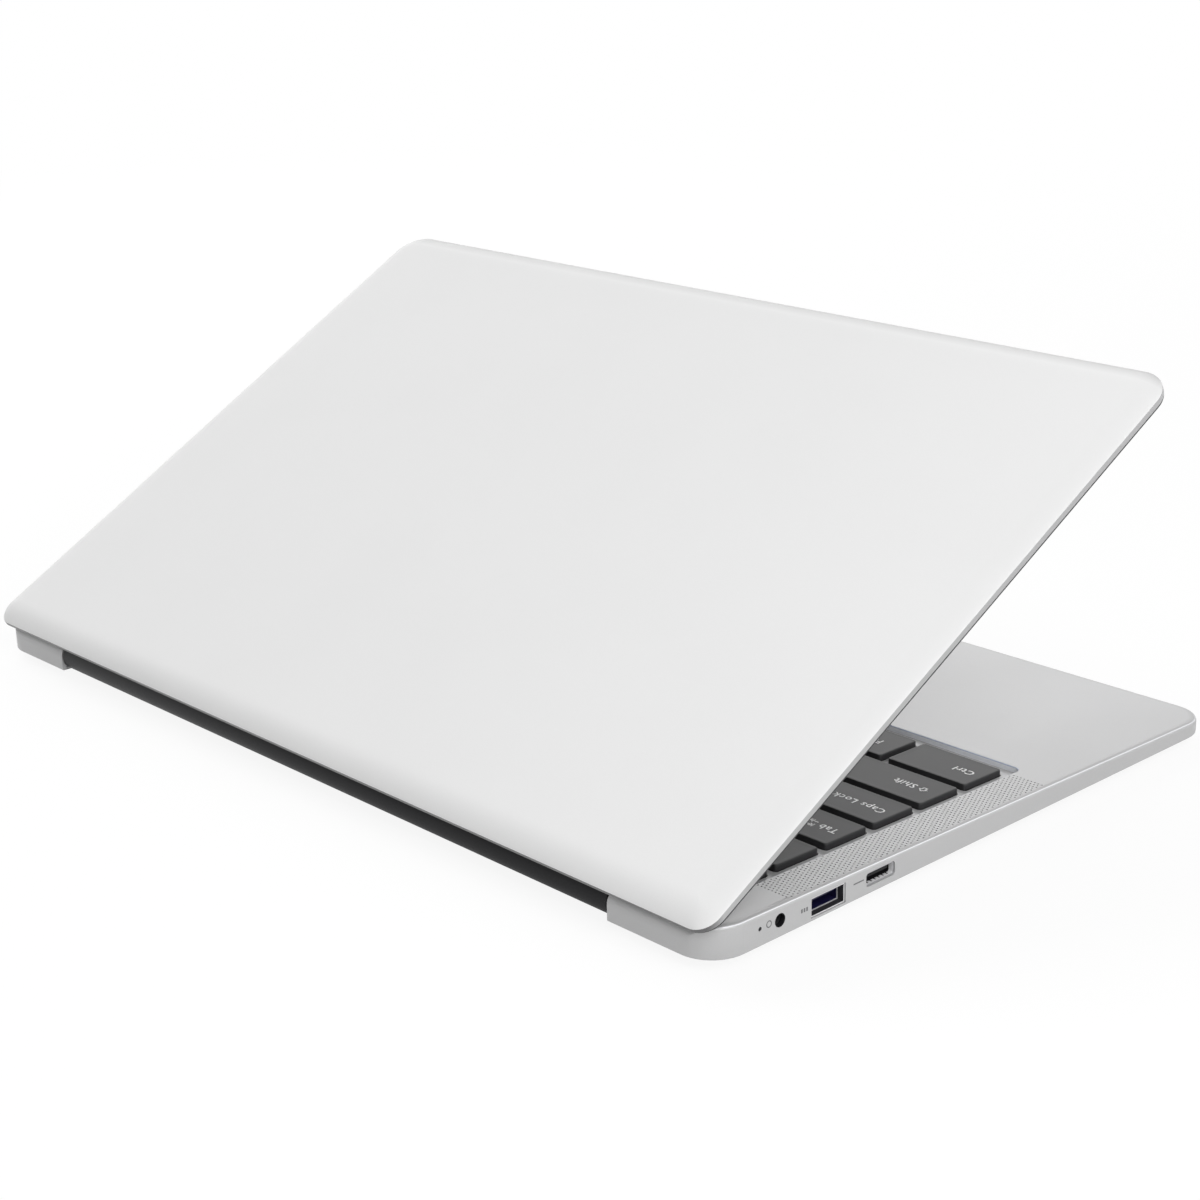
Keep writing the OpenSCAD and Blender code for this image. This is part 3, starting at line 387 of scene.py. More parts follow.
def bevel(obj, width, segments=2, angle=40):
    step = obj.modifiers.new("edges", "BEVEL")
    step.width, step.segments, step.limit_method = width * METRES, segments, "ANGLE"
    step.angle_limit = math.radians(angle)
    return settle(obj)


def cad_copy(node, name, *finishes):
    """A merged copy of a CAD node's mesh, for a piece that keeps its shape."""
    obj = add_object(name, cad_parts[node].data.copy())
    step = obj.modifiers.new("join", "WELD")
    step.merge_threshold = 1e-6
    settle(obj)
    obj.data.materials.clear()
    for finish in finishes:
        obj.data.materials.append(finish.material)
    return obj


def flatten(obj):
    """Joins the triangles of each flat face, so that edges can be bevelled."""
    step = obj.modifiers.new("flat", "DECIMATE")
    step.decimate_type, step.angle_limit = "DISSOLVE", math.radians(0.5)
    return settle(obj)


def fit(obj, body, *nodes, slot=None, smooth=30, flats=()):
    """Shades a finished piece, lets it ride on its body and stand for its CAD nodes. Faces that
    lie square to one of the flats are shaded flat."""
    obj.data.shade_smooth()
    obj.data.set_sharp_from_angle(angle=math.radians(smooth))
    for face in obj.data.polygons:
        face.use_smooth = not any(abs(face.normal.dot(flat)) > 0.99999 for flat in flats)
    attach(obj, body)
    if nodes:
        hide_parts(*nodes)
    return obj


# --- Geometry nodes -------------------------------------------------------------------------


def new_tree(name, inputs):
    tree = bpy.data.node_groups.new(name, "GeometryNodeTree")
    tree.interface.new_socket("Geometry", in_out="INPUT", socket_type="NodeSocketGeometry")
    for label, kind in inputs:
        tree.interface.new_socket(label, in_out="INPUT", socket_type="NodeSocket" + kind)
    tree.interface.new_socket("Geometry", in_out="OUTPUT", socket_type="NodeSocketGeometry")
    return tree, make(tree, "NodeGroupInput")


def end_tree(tree, instances, finish):
    solid = make(tree, "GeometryNodeRealizeInstances", None, {0: instances})
    painted = make(tree, "GeometryNodeSetMaterial", None, {"Geometry": solid, "Material": finish})
    make(tree, "NodeGroupOutput", None, {0: painted})
    return tree


def staggered_field_tree():
    """Round or slotted solids on a grid whose every second row is shifted half a pitch."""
    tree, given = new_tree("staggered field", [
        ("Columns", "Int"), ("Rows", "Int"), ("Pitch", "Float"), ("Row Pitch", "Float"),
        ("Radius", "Float"), ("Depth", "Float"), ("Sides", "Int"), ("Slot Length", "Float"),
        ("Finish", "Material")])
    columns, rows = given.output("Columns"), given.output("Rows")
    index = make(tree, "GeometryNodeInputIndex")
    row = (index / columns).math("FLOOR", index / columns)
    x = (index % columns + (row % 2) * 0.5 - (columns - 0.5) * 0.5) * given.output("Pitch")
    y = (row - (rows - 1) * 0.5) * given.output("Row Pitch")
    place = make(tree, "ShaderNodeCombineXYZ", None, {0: x, 1: y})
    points = make(tree, "GeometryNodePoints", None, {"Count": columns * rows, "Position": place})
    hole = make(tree, "GeometryNodeMeshCylinder", None,
                {"Vertices": given.output("Sides"), "Radius": given.output("Radius"),
                 "Depth": given.output("Depth")})
    # a slot is the cylinder with its two halves drawn apart along Y
    here = make(tree, "GeometryNodeInputPosition")
    side = make(tree, "ShaderNodeSeparateXYZ", None, {0: here}, output="Y")
    drawn = make(tree, "ShaderNodeCombineXYZ", None,
                 {1: side.math("SIGN", side) * given.output("Slot Length") * 0.5})
    slot = make(tree, "GeometryNodeSetPosition", None, {"Geometry": hole, "Offset": drawn})
    field = make(tree, "GeometryNodeInstanceOnPoints", None, {"Points": points, "Instance": slot})
    return end_tree(tree, field, given.output("Finish"))


def on_places_tree():
    """One shape at every point of the input mesh."""
    tree, given = new_tree("shape on places", [("Shape", "Object"), ("Scale", "Float"),
                                               ("Finish", "Material")])
    shape = make(tree, "GeometryNodeObjectInfo", None, {"Object": given.output("Shape")},
                 output="Geometry")
    spots = make(tree, "GeometryNodeInstanceOnPoints", None,
                 {"Points": given.output("Geometry"), "Instance": shape, "Scale": given.output("Scale")})
    return end_tree(tree, spots, given.output("Finish"))


def grow(name, tree, values, places=(), place=ROW):
    """Runs a tree on a mesh of points and returns its result as a plain mesh, in metres."""
    mesh = bpy.data.meshes.new(name)
    mesh.from_pydata([place @ Vector(p) for p in places], [], [])
    obj = add_object(name, mesh)
    step = obj.modifiers.new("nodes", "NODES")
    step.node_group = tree
    for item in tree.interface.items_tree:
        if item.in_out == "INPUT" and item.name in values:
            step[item.identifier] = values[item.name]
    settle(obj)
    return obj


def to_place(obj, place):
    """Puts a mesh that is in millimetres at a place of the row frame, in metres."""
    obj.data.transform(Matrix.Scale(METRES, 4) @ place)
    return obj


field_tree = staggered_field_tree()
places_tree = on_places_tree()

# --- Top case -------------------------------------------------------------------------------

OUTSIDE = 1.0  # how far a cutter reaches past the face it cuts


def edge_cutter(outline, facets, height, finish_of):
    """A ring that gives an edge a profile of facets, each (length, slope in degrees), from the
    face down to the wall. outline(inset) gives a loop, and finish_of the finish of some facets."""
    steps = [(n * math.cos(math.radians(a)), n * math.sin(math.radians(a))) for n, a in facets]
    profile = [(sum(x for x, _ in steps), 0)]
    for x, z in steps:
        profile.append((profile[-1][0] - x, profile[-1][1] - z))
    (n0, x0, z0), (n1, x1, z1) = [(facets[k][0], *steps[k]) for k in (0, -1)]
    start = (profile[0][0] + OUTSIDE * x0 / n0, OUTSIDE * z0 / n0)
    end = (profile[-1][0] - OUTSIDE * x1 / n1, profile[-1][1] - OUTSIDE * z1 / n1 * (x1 > 1e-6))
    section = [start, *profile, end, (-OUTSIDE, end[1]), (-OUTSIDE, OUTSIDE), (start[0], OUTSIDE)]
    kinds = [finish_of.get(strip - 1, 0) for strip in range(len(section))]
    form = Form()
    form.loft([[(x, y, height(x, y) + rise) for x, y in outline(inset)] for inset, rise in section],
              kinds, ring=True)
    return form


def cut_edges(case):
    """Softens the deck's outer edge, which has one bright line: a cut facet with a painted highlight.
    Bevels both openings, with a painted shade line along their top and painted light on their walls.
    """
    soft_edge = ((0.9, 3), (0.56, 11), (0.3, 24), (0.24, 38), (0.22, 52), (0.22, 66), (0.22, 80))
    cutter = edge_cutter(lambda i: rounded(base_w - 2 * i, base_d - 2 * i, base_r - i, steps=12),
                         soft_edge, lambda x, y: deck_height(y), {3: 1})
    carve(case, cutter.object("edge cut", [case_silver, cut_edge_highlight]))
    opening_edge = ((0.12, 18), (0.3, 45), (0.12, 72), (1.26, 90))
    pad_gap, pad_hole_r = 0.3, 3.0
    openings = ((well_w, well_d, well_r, palm_d + well_d / 2),
                (pad_w + 2 * pad_gap, pad_d + 2 * pad_gap, pad_hole_r, pad_front + pad_d / 2))
    for w, d, r, y in openings:
        cutter = edge_cutter(lambda i: rounded(w + 2 * i + 0.04, d + 2 * i + 0.04, r + i + 0.02, (0, y)),
                             opening_edge, lambda x, y: 0, {0: 1, 1: 1, 2: 2, 3: 2})
        carve(case, cutter.object("opening cut", [case_silver, well_edge, well_wall_painted_light], DECK))


def drill_speaker_holes(case):
    """Fields of small holes in the deck, on both sides of the keyboard."""
    from_side, from_front = 6.9, 132.5
    for side in (-1, 1):
        holes = grow("speaker holes", field_tree,
                     {"Columns": 9, "Rows": 86, "Pitch": 1.2, "Row Pitch": 1.22, "Radius": 0.31,
                      "Depth": 1.0, "Sides": 10, "Slot Length": 0.0, "Finish": hole_painted_shade.material})
        to_place(holes, DECK @ Matrix.Translation((side * (base_w / 2 - from_side), from_front, 0)))
        carve(case, holes)


def round_rear_ends(case):
    """Rounds the rear ends' upper inner corners, as seen from the rear."""
    corner_r, gap_x = 3.2, hinge_gap_w / 2
    top = deck_height(base_d / 2) + 0.02
    middle_x, middle_z = gap_x + corner_r, top - corner_r
    arc = [math.radians(90 + 90 * i / 10) for i in range(11)]
    outline = [(middle_x + corner_r * math.cos(a), middle_z + corner_r * math.sin(a)) for a in arc]
    outline += [(gap_x - OUTSIDE, middle_z), (gap_x - OUTSIDE, top + OUTSIDE), (middle_x, top + OUTSIDE)]
    for side in (-1, 1):
        cutter = Form()
        cutter.loft([[(side * x, y, z) for x, z in outline]
                     for y in (hinge_y - hinge_r - OUTSIDE, base_d / 2 + OUTSIDE)])
        carve(case, cutter.object("rear end rounding", [case_silver]))


def mark_ports(case):
    """Small plain marks beside the left wall's ports, printed flush in the wall."""
    marks = Form()
    depth, left = 0.03, -base_w / 2

    def bar(y0, y1, below0, below1):
        """A bar by its distances from the front edge and its depths below the deck."""
        y0, y1 = y0 - base_d / 2, y1 - base_d / 2
        top = deck_height((y0 + y1) / 2)
        marks.block((left - OUTSIDE, y0, top - below1), (left + depth, y1, top - below0))

    for i in range(3):
        bar(178.9 + 0.95 * i, 179.5 + 0.95 * i, 3.7, 4.8)
    bar(157.6, 161.6, 3.1, 3.5)
    ring_y = 193.1 - base_d / 2
    at_ring = Matrix.Translation((left, ring_y, deck_height(ring_y) - 3.7))
    ring = ((1.0, -depth), (1.0, OUTSIDE), (0.68, OUTSIDE), (0.68, -depth))
    marks.loft([round_loop(r, z, sides=24) for r, z in ring], ring=True,
               place=at_ring @ Matrix.Rotation(math.radians(-90), 4, "Y"))
    carve(case, marks.object("port marks", [print_grey]))


def line_jack_hole(case):
    """Makes the power jack's hole black right through the wall."""
    hole = Form()
    hole.loft([round_loop(power_r + 0.02, z, sides=40) for z in (-1.5, OUTSIDE)],
              place=Matrix.Translation((-base_w / 2, power_y, power_z)) @ OUT_LEFT)
    carve(case, hole.object("jack hole", [port_black]))


top_case = cad_copy("top_case", "top_case_shell", case_silver)
for work in (cut_edges, drill_speaker_holes, round_rear_ends, mark_ports, line_jack_hole):
    work(top_case)
fit(top_case, "base", "top_case", slot="case_silver", smooth=24, flats=AXES + [DECK.to_3x3() @ AXES[2]])

# --- Bottom cover, feet and screws ------------------------------------------------------------

bottom = cad_copy("bottom_cover", "bottom_cover_pan", cover_grey)
vent_x, vent_y = 66, 56
for side in (-1, 1):
    vents = grow("vent slots", field_tree,
                 {"Columns": 18, "Rows": 2, "Pitch": 3.4, "Row Pitch": 9.0, "Radius": 0.6,
                  "Depth": 3.0, "Sides": 12, "Slot Length": 5.0, "Finish": hole_painted_shade.material})
    to_place(vents, Matrix.Translation((side * vent_x, vent_y, foot_h)))
    carve(bottom, vents)
fit(bottom, "base", "bottom_cover", slot="cover_grey", smooth=24, flats=AXES)

foot_l, foot_w, foot_r = 44.0, 7.0, 3.0
foot_x, foot_y = 118, 80
feet = Form()
for x, y in ((x, y) for x in (-foot_x, foot_x) for y in (-foot_y, foot_y)):
    feet.loft([[(px, py, z) for px, py in rounded(foot_l - 2 * i, foot_w - 2 * i, foot_r - i, (x, y))]
               for i, z in ((0.5, 0), (0.15, 0.12), (0, 0.45), (0, foot_h))])
fit(feet.object("feet_rubber", [rubber]), "base", "rubber_feet", slot="rubber_dark")

screw = Form()
screw.loft([round_loop(r, z) for r, z in ((0.3, 0), (1.75, 0), (1.9, 0.12), (1.9, 0.5), (0.95, 0.5),
                                          (0.95, 3.7), (0.7, 3.9))])
screw_shape = screw.object("screw shape", [bolt_steel])
cross = Form()
cross.block((-1.0, -0.2, -1), (1.0, 0.2, 0.32))
cross.block((-0.2, -1.0, -1), (0.2, -0.2, 0.32))
cross.block((-0.2, 0.2, -1), (0.2, 1.0, 0.32))
carve(screw_shape, cross.object("screw cross", [bolt_steel]))
screw_shape.data.transform(Matrix.Scale(1 / METRES, 4))
front_y, rear_y, beside_pad = -88, base_d / 2 - 17.5, pad_w / 2 + 17
screw_places = [(s * x, y, foot_h) for s in (-1, 1) for x, y in
                ((145, front_y), (beside_pad, front_y), (145, -35.5), (118, rear_y), (40, rear_y))]
screws = grow("bottom_screw_set", places_tree,
              {"Shape": screw_shape, "Scale": 1.0, "Finish": bolt_steel.material}, screw_places)
fit(to_place(screws, ROW), "base", "bottom_screws", slot="screw_steel")
bpy.data.objects.remove(screw_shape)

# --- Keys -----------------------------------------------------------------------------------

LEGEND, SMALL_LEGEND = 3.9, 2.5
legend_margin, legend_rise = 3.2, 2.9
dish = 0.05


def letters(form, words, x, y, size, align="LEFT"):
    """Words on a keycap, as a thin slab that stands in its dished top."""
    curve = bpy.data.curves.new("legend", "FONT")
    curve.body, curve.size, curve.extrude, curve.resolution_u = words, size, 0.03, 2
    curve.align_x, curve.align_y = align, "CENTER"
    curve.offset, curve.space_character = 0.04, 1.1
    obj = bpy.data.objects.new("legend", curve)
    bpy.context.scene.collection.objects.link(obj)
    mesh = bpy.data.meshes.new_from_object(obj.evaluated_get(bpy.context.evaluated_depsgraph_get()))
    form.add([v.co for v in mesh.vertices], [p.vertices for p in mesh.polygons],
             [1] * len(mesh.polygons), Matrix.Translation((x, y, cap_proud - dish - 0.015)))
    bpy.data.objects.remove(obj)
    bpy.data.meshes.remove(mesh)


def sign(form, outlines, x, y, turn=0):
    """A drawn sign on a keycap: each outline is a list of points, anticlockwise."""
    place = Matrix.Translation((x, y, cap_proud - dish)) @ Matrix.Rotation(math.radians(turn), 4, "Z")
    for outline in outlines:
        form.prism(outline, -0.03, 0.015, 1, place)


def stroke(x0, y0, x1, y1, width=0.36):
    """Outline of a straight stroke."""
    along = Vector((x1 - x0, y1 - y0)).normalized() * width / 2
    across = Vector((-along.y, along.x))
    a, b = Vector((x0, y0)) - along, Vector((x1, y1)) + along
    return [tuple(a - across), tuple(b - across), tuple(b + across), tuple(a + across)]


ARROW = [stroke(-1.1, 0, 1.1, 0), stroke(-1.1, 0, -0.4, 0.65), stroke(-1.1, 0, -0.4, -0.65)]
SHIFT = [stroke(-1.3, 0, 0, 1.3), stroke(1.3, 0, 0, 1.3), stroke(-1.3, 0, -0.6, 0),
         stroke(1.3, 0, 0.6, 0), stroke(-0.6, 0, -0.6, -1.1), stroke(0.6, 0, 0.6, -1.1),
         stroke(-0.6, -1.1, 0.6, -1.1)]
MENU = [stroke(-1.1, h, 1.1, h) for h in (-0.8, 0, 0.8)]
SQUARE = [stroke(-1, -1, 1, -1), stroke(1, -1, 1, 1), stroke(1, 1, -1, 1), stroke(-1, 1, -1, -1)]
BAR = stroke(-1.4, -0.7, -1.4, 0.7)
angles = [2.2 + 0.5 * i for i in range(10)]
ring = [(0.95 * math.cos(a), 0.95 * math.sin(a)) for a in angles]
POWER = [stroke(0, 0.2, 0, 1.3)] + [stroke(*a, *b, 0.25) for a, b in zip(ring, ring[1:])]

short_unit = row_units / 16
key_rows = [
    [("key_ctrl_left", 1.6, "Ctrl"), ("modifier_keys", 1, "Fn"), ("modifier_keys", 1, SQUARE),
     ("modifier_keys", 1.1, "Alt"), ("key_space", 5.2, ""), ("modifier_keys", 1, "Alt"),
     ("modifier_keys", 1, MENU), ("modifier_keys", 1, "Ctrl"), ("key_arrow_left", 1, (ARROW, 0)),
     ("key_arrow_down", 1, (ARROW, 90)), ("key_arrow_right", 1, (ARROW, 180))],
    [("key_shift_left", 2.25, (SHIFT, "Shift"))]
    + [("lower_letter_keys", 1, c) for c in ("Z", "X", "C", "V", "B", "N", "M", "<\n,", ">\n.", "?\n/")]
    + [("key_shift_right", 1.65, (SHIFT, "Shift")), ("key_arrow_up", 1, (ARROW, -90)),
       ("navigation_keys", 1, "End")],
    [("key_caps_lock", 1.75, "Caps Lock")]
    + [("home_letter_keys", 1, c) for c in (*"ASDFGHJKL", ":\n;", "\"\n'")]
    + [("key_enter", 2.15, "Enter"), ("navigation_keys", 1, "Pg Dn")],
    [("key_tab", 1.5, ("Tab", ARROW))]
    + [("upper_letter_keys", 1, c) for c in (*"QWERTYUIOP", "{\n[", "}\n]")]
    + [("upper_letter_keys", 1.4, "|\n\\"), ("navigation_keys", 1, "Pg Up")],
    [("key_backquote", 1, "~\n`")]
    + [("number_keys", 1, f"{a}\n{b}") for a, b in zip("!@#$%^&*()_+", "1234567890-=")]
    + [("key_backspace", 1.9, "Backspace"), ("navigation_keys", 1, "Home")],
    [("key_escape", short_unit, "Esc")] + [("function_keys", short_unit, f"F{i}") for i in range(1, 13)]
    + [("function_keys", short_unit, "Ins"), ("function_keys", short_unit, "Del"),
       ("key_power", short_unit, POWER)],
]


def keycap(form, x, y, w, d):
    """A cap with soft top edges and a shallow dish."""
    middle = (x + w / 2, y + d / 2)
    section = [(0.12, cap_proud - cap_h), (0, cap_proud - cap_h + 0.15), (0, -0.25), (0.03, -0.02),
               (0.12, 0.12), (0.28, 0.185), (0.5, cap_proud), (0.9, cap_proud - 0.012),
               (1.6, cap_proud - dish), (2.0, cap_proud - dish)]
    form.loft([[(px, py, z) for px, py in rounded(w - 2 * i, d - 2 * i, cap_r - i * 0.4, middle, 5)]
               for i, z in section], [2, 2, 2] + [0] * (len(section) - 4))


def print_legend(form, legend, x, y, w, d):
    """The words or sign of one key, from its left edge."""
    mid_y, start = y + d / 2, x + legend_margin
    if isinstance(legend, str) and "\n" in legend:
        upper, lower = legend.split("\n")
        letters(form, upper, x + w * 0.4, mid_y + legend_rise, LEGEND * 0.9, "CENTER")
        letters(form, lower, x + w * 0.4, mid_y - legend_rise, LEGEND * 0.9, "CENTER")
    elif isinstance(legend, str):
        wide = w > key_pitch
        size = LEGEND if len(legend) < 4 or wide else SMALL_LEGEND
        if d < key_d - 1:
            size = SMALL_LEGEND
        if legend and wide:
            letters(form, legend, start, mid_y, size)
        elif legend:
            letters(form, legend, x + w / 2, mid_y, size, "CENTER")
    elif legend[0] is SHIFT:
        sign(form, SHIFT, x + 6.0, mid_y - 0.4)
        letters(form, legend[1], x + 8.6, mid_y - 0.6, LEGEND)
    elif legend[0] == "Tab":
        letters(form, "Tab", start, mid_y, LEGEND)
        sign(form, [*ARROW, BAR], x + 12.3, mid_y + 1.2)
        sign(form, [*ARROW, BAR], x + 12.3, mid_y - 1.2, 180)
    elif legend[0] is ARROW:
        sign(form, ARROW, x + w / 2, mid_y, legend[1])
    else:
        sign(form, legend, x + w / 2, mid_y)


caps = {}
for row, keys in enumerate(key_rows):
    x, y = -keys_w / 2, keys_front + row * row_pitch
    d = key_d if row < len(key_rows) - 1 else short_key_d
    for node, units, legend in keys:
        w = units * key_pitch - key_gap
        form = caps.setdefault(node, Form())
        keycap(form, x, y, w, d)
        print_legend(form, legend, x, y, w, d)
        x += units * key_pitch
for node, form in caps.items():
    cap = form.object(node + "_caps", [key_plastic, legend_ink, key_side], DECK)
    fit(cap, node, node, slot="key_black")

# --- Touchpad -------------------------------------------------------------------------------

pad = Form()
pad_mid, pad_r = (0, pad_front + pad_d / 2), 2.7
pad.loft([[(x, y, z) for x, y in rounded(pad_w - 2 * i, pad_d - 2 * i, pad_r - i, pad_mid)]
          for i, z in ((0.2, -1.9), (0, -1.7), (0, -0.3), (0.08, -0.16), (0.25, -0.1), (0.6, -0.1))])
fit(pad.object("touchpad_plate", [pad_film], DECK), "touchpad", "touchpad", slot="touchpad_grey")

# --- Ports ----------------------------------------------------------------------------------


def port_shell(w, h, r, bands, lip=0):
    """A drawn metal shell, shut at the back. bands are (depth, finish) down its inside."""
    form = Form()
    inner = shell_t - 0.05
    section = [(0, -port_l), (0, -0.15), (0.1, 0), (inner, 0), (shell_t, -0.1)]
    section += [(shell_t, -depth) for depth, _ in bands]
    form.loft([[(x, y, z) for x, y in rounded(w - 2 * i, h - 2 * i, r - i, steps=6)] for i, z in section],
              [0, lip, lip, lip] + [kind for _, kind in bands])
    return form


usb_finishes = [port_metal, dark_metal, tongue_navy, gold, lining_painted_sheen]
tongue_w, tongue_h = 10.8, 1.8
for name, place, side in (("left", OUT_LEFT, -1), ("right", OUT_RIGHT, 1)):
    usb = port_shell(usb_w, usb_h, 0.4, ((2.0, 1), (2.5, 4), (port_l - 1, 2)), lip=4)
    usb.block((-tongue_w / 2, 0, 0.5 - port_l), (tongue_w / 2, tongue_h, -2.7), 2)
    for x in (-3.5, -1.0, 1.0, 3.5):
        usb.block((x - 0.5, -0.04, 1.5 - port_l), (x + 0.5, 0.1, -3.2), 3)
    at_mouth = Matrix.Translation((side * port_mouth, usb_y, usb_z)) @ place
    fit(usb.object("usb_socket_" + name, usb_finishes, at_mouth), "base", "usb_port_" + name,
        slot="port_metal", smooth=40)

inner_w, inner_h = video_w - 2 * shell_t, video_h - 2 * shell_t
beside_tongue, ridges, ridge_pitch = 1.2, 6, 1.55
video = port_shell(video_w, video_h, 1.0, ((1.5, 2), (port_l - 1, 1)))
video.block((beside_tongue - inner_w / 2, 0, 0.5 - port_l), (inner_w / 2 - beside_tongue, 0.7, -1.0), 1)
for i in range(ridges):
    for level in (-inner_h / 2, inner_h / 2):
        x = (i - (ridges - 1) / 2) * ridge_pitch
        video.block((x - 0.2, level - 0.05, -2.7), (x + 0.2, level + 0.05, -0.7), 1)
at_mouth = Matrix.Translation((-port_mouth, video_y, video_z)) @ OUT_LEFT
fit(video.object("video_socket", [port_metal, port_black, lining_painted_sheen], at_mouth), "base",
    "video_port", slot="port_metal", smooth=40)

fit(bevel(flatten(cad_copy("card_slot", "card_socket", port_metal)), 0.06, 1), "base", "card_slot",
    slot="port_metal", smooth=40)
for node in ("power_jack", "headphone_jack"):
    fit(bevel(flatten(cad_copy(node, node + "_body", port_black)), 0.08, 1), "base", node,
        slot="jack_black")

# --- Lid --------------------------------------------------------------------------------------


def lid_loop(inset, z, drop=0.0):
    """A loop round the lid, rounder at the free edge than at the hinge, where it hangs lower."""
    points = rounded(base_w - 2 * inset, lid_d - 2 * inset, lid_r - inset, (0, lid_mid_y), 12,
                     lid_rear_r - inset)
    rear = lid_back - lid_curve_w
    return [(x, y, z - drop * min(max((y - rear) / lid_curve_w, 0), 1)) for x, y in points]


def lid_curve(inset, edge_z, top_z, steps):
    """Arc of the lid's soft edge, from its crease up to the flat of the back."""
    w, rise = lid_curve_w - inset, top_z - edge_z
    arc_r = (w * w + rise * rise) / (2 * rise)
    turn = math.asin(w / arc_r)
    angles = [turn * (1 - i / steps) for i in range(steps + 1)]
    return [(lid_curve_w - arc_r * math.sin(a), top_z - arc_r * (1 - math.cos(a))) for a in angles]


edge_z, top_z, lip_z = rim_z + lid_edge_h, rim_z + lid_t, rim_z + 0.25
inner_curve = lid_curve(lid_skin, edge_z - 0.3 * lid_skin, top_z - lid_skin, 6)
outer_curve = lid_curve(0, edge_z, top_z, 14)
section = [(lid_curve_w + 1.2, top_z - lid_skin)] + inner_curve[::-1]
section += [(lid_skin, lip_z), (0.2, lip_z), (0.05, lip_z + 0.05), (0, lip_z + 0.2)]
section += [(0, edge_z - 0.12), (0.03, edge_z - 0.04), *outer_curve[1:]]
section += [(lid_curve_w + 0.6, top_z), (lid_curve_w + 1.4, top_z)]
rim = len(inner_curve) + 1
kinds = [int(rim <= strip < rim + 5) for strip in range(len(section) - 1)]


def hinge_side_drop(z):
    """How much lower a loop hangs along the hinge."""
    if z < lip_z + 0.3:
        return lip_drop
    return crease_drop * min((top_z - z) / (top_z - edge_z), 1)


back = Form()
back.loft([lid_loop(i, z, hinge_side_drop(z)) for i, z in section], kinds)
fit(back.object("lid_back_shell", [lid_paint, rim_silver], LID), "lid", "lid_back_cover",
    slot="lid_silver", smooth=35)

# the bezel's lip reaches out under the rim
bezel = cad_copy("screen_bezel", "screen_bezel_frame", bezel_black)
lip = Form()
lip_top, outer, inner = lip_z - 0.05, 0.18, 3
lip.loft([lid_loop(outer, bezel_face_z), lid_loop(outer, lip_top, lip_drop),
          lid_loop(inner, lip_top, lip_drop), lid_loop(inner, bezel_face_z)], ring=True)
carve(bezel, lip.object("bezel lip", [bezel_black], LID), "UNION")
fit(bevel(flatten(bezel), 0.12, 2, 50), "lid", "screen_bezel", slot="bezel_black", smooth=40,
    flats=[LID.to_3x3() @ AXES[2]])

bumper = Form()
bumper.loft([round_loop(r, z, sides=24) for r, z in
             ((2.2, 0), (2.2, -0.7), (2.05, -1.0), (1.6, -1.2), (0.8, -1.25))][::-1])
bumper_shape = bumper.object("bumper shape", [rubber])
bumper_shape.data.transform(Matrix.Scale(1 / METRES, 4))
bumper_x = base_w / 2 - 6
bumper_places = [(s * x, y, bezel_face_z) for s in (-1, 1) for x, y in
                 ((bumper_x, lid_mid_y + lid_d / 5), (bumper_x, lid_mid_y - lid_d / 5),
                  (beside_pad, free_y + 4.6))]
bumpers = grow("bezel_bumper_set", places_tree,
               {"Shape": bumper_shape, "Scale": 1.0, "Finish": rubber.material}, bumper_places)
fit(to_place(bumpers, LID), "lid", "bezel_bumpers", slot="rubber_dark")
bpy.data.objects.remove(bumper_shape)

hinge_cover = flatten(cad_copy("hinge_cover", "hinge_cover_barrel", hinge_black))
fit(bevel(hinge_cover, 0.2, 2, 50), "lid", "hinge_cover", slot="hinge_black", smooth=40)

# --- CAD pieces that keep their shape -------------------------------------------------------

kept = {
    well_floor: ("keyboard_plate",),
    pressed_steel: ("hinge_bracket_left", "hinge_bracket_right", "touchpad_bracket",
                    "hinge_arm_left", "hinge_arm_right"),
    board_green: ("motherboard", "io_board", "storage_card", "wifi_card"),
    chip_black: ("processor_chips", "speaker_left", "speaker_right"),
    copper: ("heat_spreader",), battery_wrap: ("battery_pack",), bolt_steel: ("lid_screws",),
    flat_cable: ("io_ribbon", "wifi_antennas"), port_black: ("display_cable",),
    light_guide: ("charge_light",), camera_glass: ("webcam",), screen_glass: ("display_panel",),
}
for finish, nodes in kept.items():
    for node in nodes:
        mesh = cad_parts[node].data
        mesh.materials.clear()
        mesh.materials.append(finish.material)

# --- Floor, lights and camera ---------------------------------------------------------------


def studio_mask(tree):
    """1 for what the camera, a reflection or a refraction sees."""
    rays = make(tree, "ShaderNodeLightPath", output="Is Camera Ray")
    seen = rays.math("MAXIMUM", rays, rays.output("Is Glossy Ray"))
    return seen.math("MAXIMUM", seen, rays.output("Is Transmission Ray"))


def make_world():
    """Dim light from all round, on a background that is seen as white."""
    world = bpy.data.worlds.new("studio")
    bpy.context.scene.world = world
    world.use_nodes = True
    sky = world.node_tree
    sky.nodes.clear()
    dim = make(sky, "ShaderNodeBackground", None, {"Color": (1, 1, 1, 1), "Strength": 0.27})
    white = make(sky, "ShaderNodeBackground", None, {"Color": (1, 1, 1, 1), "Strength": 1.0})
    both = make(sky, "ShaderNodeMixShader", None, {0: studio_mask(sky), 1: dim, 2: white})
    make(sky, "ShaderNodeOutputWorld", None, {"Surface": both})


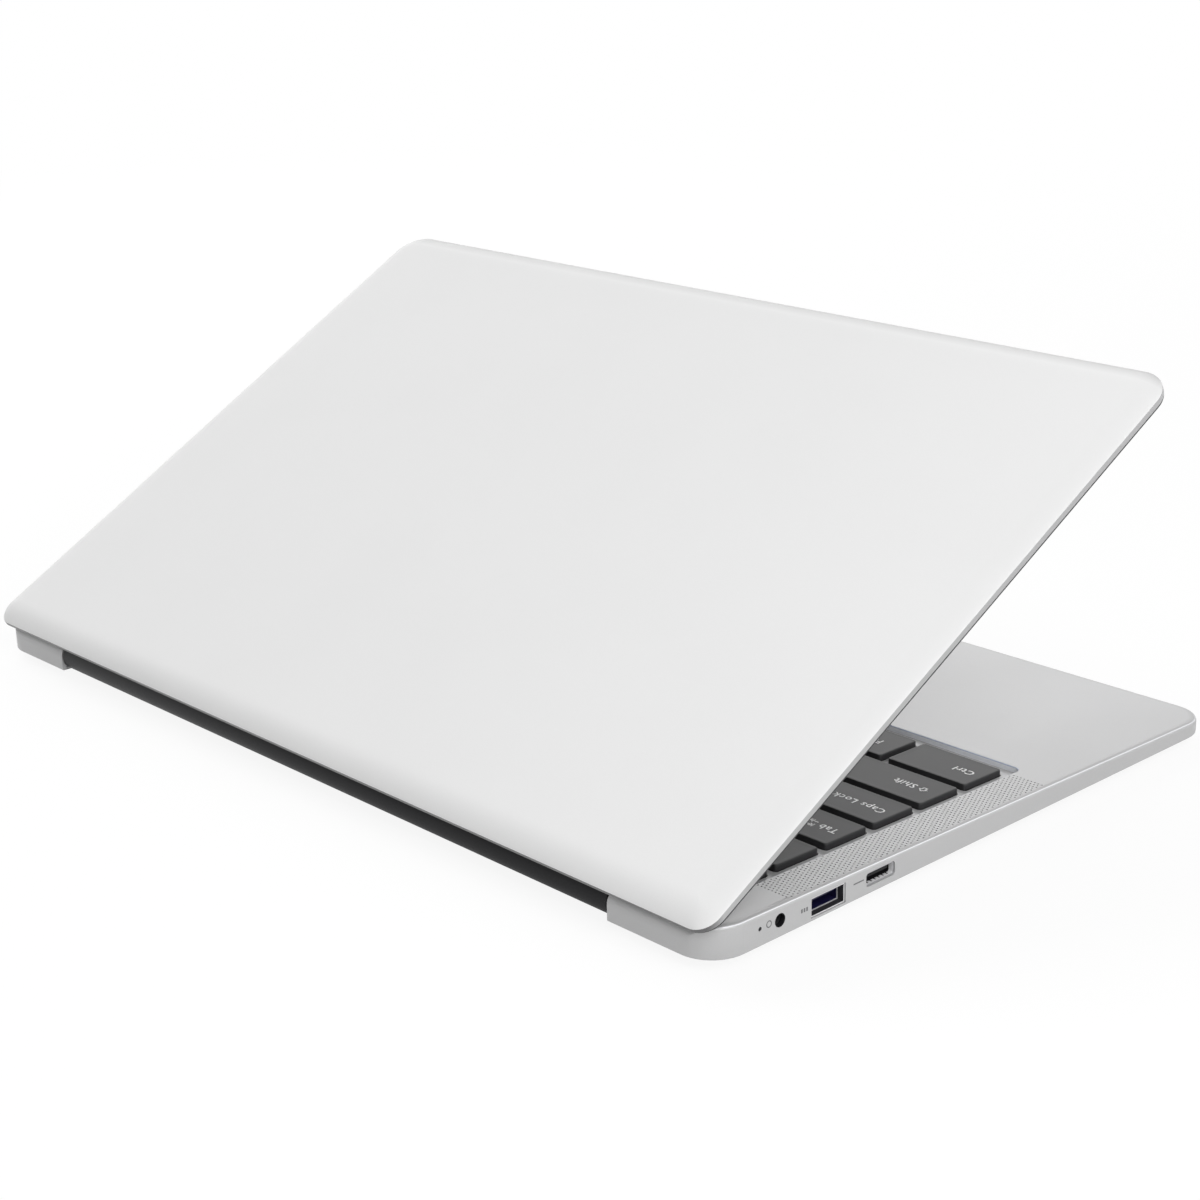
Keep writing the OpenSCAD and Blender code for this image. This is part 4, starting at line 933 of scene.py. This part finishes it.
def make_floor():
    """A pale floor that looks white, but for a faint shadow that fades out with distance."""
    finish = Finish("studio floor", (0.9, 0.9, 0.9), 0.9)
    ground = finish.tree
    glow = make(ground, "ShaderNodeEmission", None, {"Color": (1, 1, 1, 1), "Strength": 1.0})
    far = make(ground, "ShaderNodeVectorMath", {"operation": "LENGTH"}, {0: finish.place}, "Value")
    glowing = finish.ramp(far, 0.4, 1.2) * 0.1 + 0.9
    both = make(ground, "ShaderNodeMixShader", None,
                {0: studio_mask(ground) * glowing, 1: finish.shader, 2: glow})
    finish.cover(both)
    reach = 6.0
    corners = [(-reach, -reach, 0), (reach, -reach, 0), (reach, reach, 0), (-reach, reach, 0)]
    mesh = bpy.data.meshes.new("floor")
    mesh.from_pydata(corners, [], [(0, 1, 2, 3)])
    mesh.materials.append(finish.material)
    add_object("studio_floor", mesh)


def make_lamp(name, place, size, watts):
    """A round soft lamp that faces the laptop."""
    data = bpy.data.lights.new(name, "AREA")
    data.shape, data.size, data.energy = "DISK", size, watts
    obj = bpy.data.objects.new(name, data)
    obj.location = place
    obj.rotation_euler = (Vector((0, 0, 0.05)) - Vector(place)).to_track_quat("-Z", "Y").to_euler()
    bpy.context.scene.collection.objects.link(obj)


def make_camera():
    """The view from behind and above, to the left of the laptop."""
    eye, yaw, pitch, roll = Vector((-0.52522, 0.47323, 0.27506)), -0.7476, 0.3324, -0.0236
    level = math.cos(pitch)
    forward = Vector((math.cos(yaw) * level, math.sin(yaw) * level, -math.sin(pitch)))
    right = forward.cross(Vector((0, 0, 1))).normalized()
    up = right.cross(forward)
    turned_right = math.cos(roll) * right + math.sin(roll) * up
    turned_up = math.cos(roll) * up - math.sin(roll) * right
    data = bpy.data.cameras.new("camera")
    data.lens, data.sensor_width = 71.34, 36.0
    data.clip_start, data.clip_end = 0.01, 30
    camera = bpy.data.objects.new("camera", data)
    facing = Matrix((turned_right, turned_up, -forward)).transposed()
    camera.matrix_world = Matrix.Translation(eye) @ facing.to_4x4()
    bpy.context.scene.collection.objects.link(camera)
    bpy.context.scene.camera = camera


make_world()
make_floor()
make_lamp("near left light", (-0.85, 0.25, 0.7), 0.9, 8.5)
make_lamp("right light", (1.6, 0.1, 1.2), 1.6, 25.5)
make_lamp("front left light", (-1.2, -1.2, 1.0), 1.4, 2.8)
make_lamp("front right light", (1.2, -1.2, 1.0), 1.4, 9.3)
make_camera()
bpy.context.scene.view_settings.view_transform = "Standard"
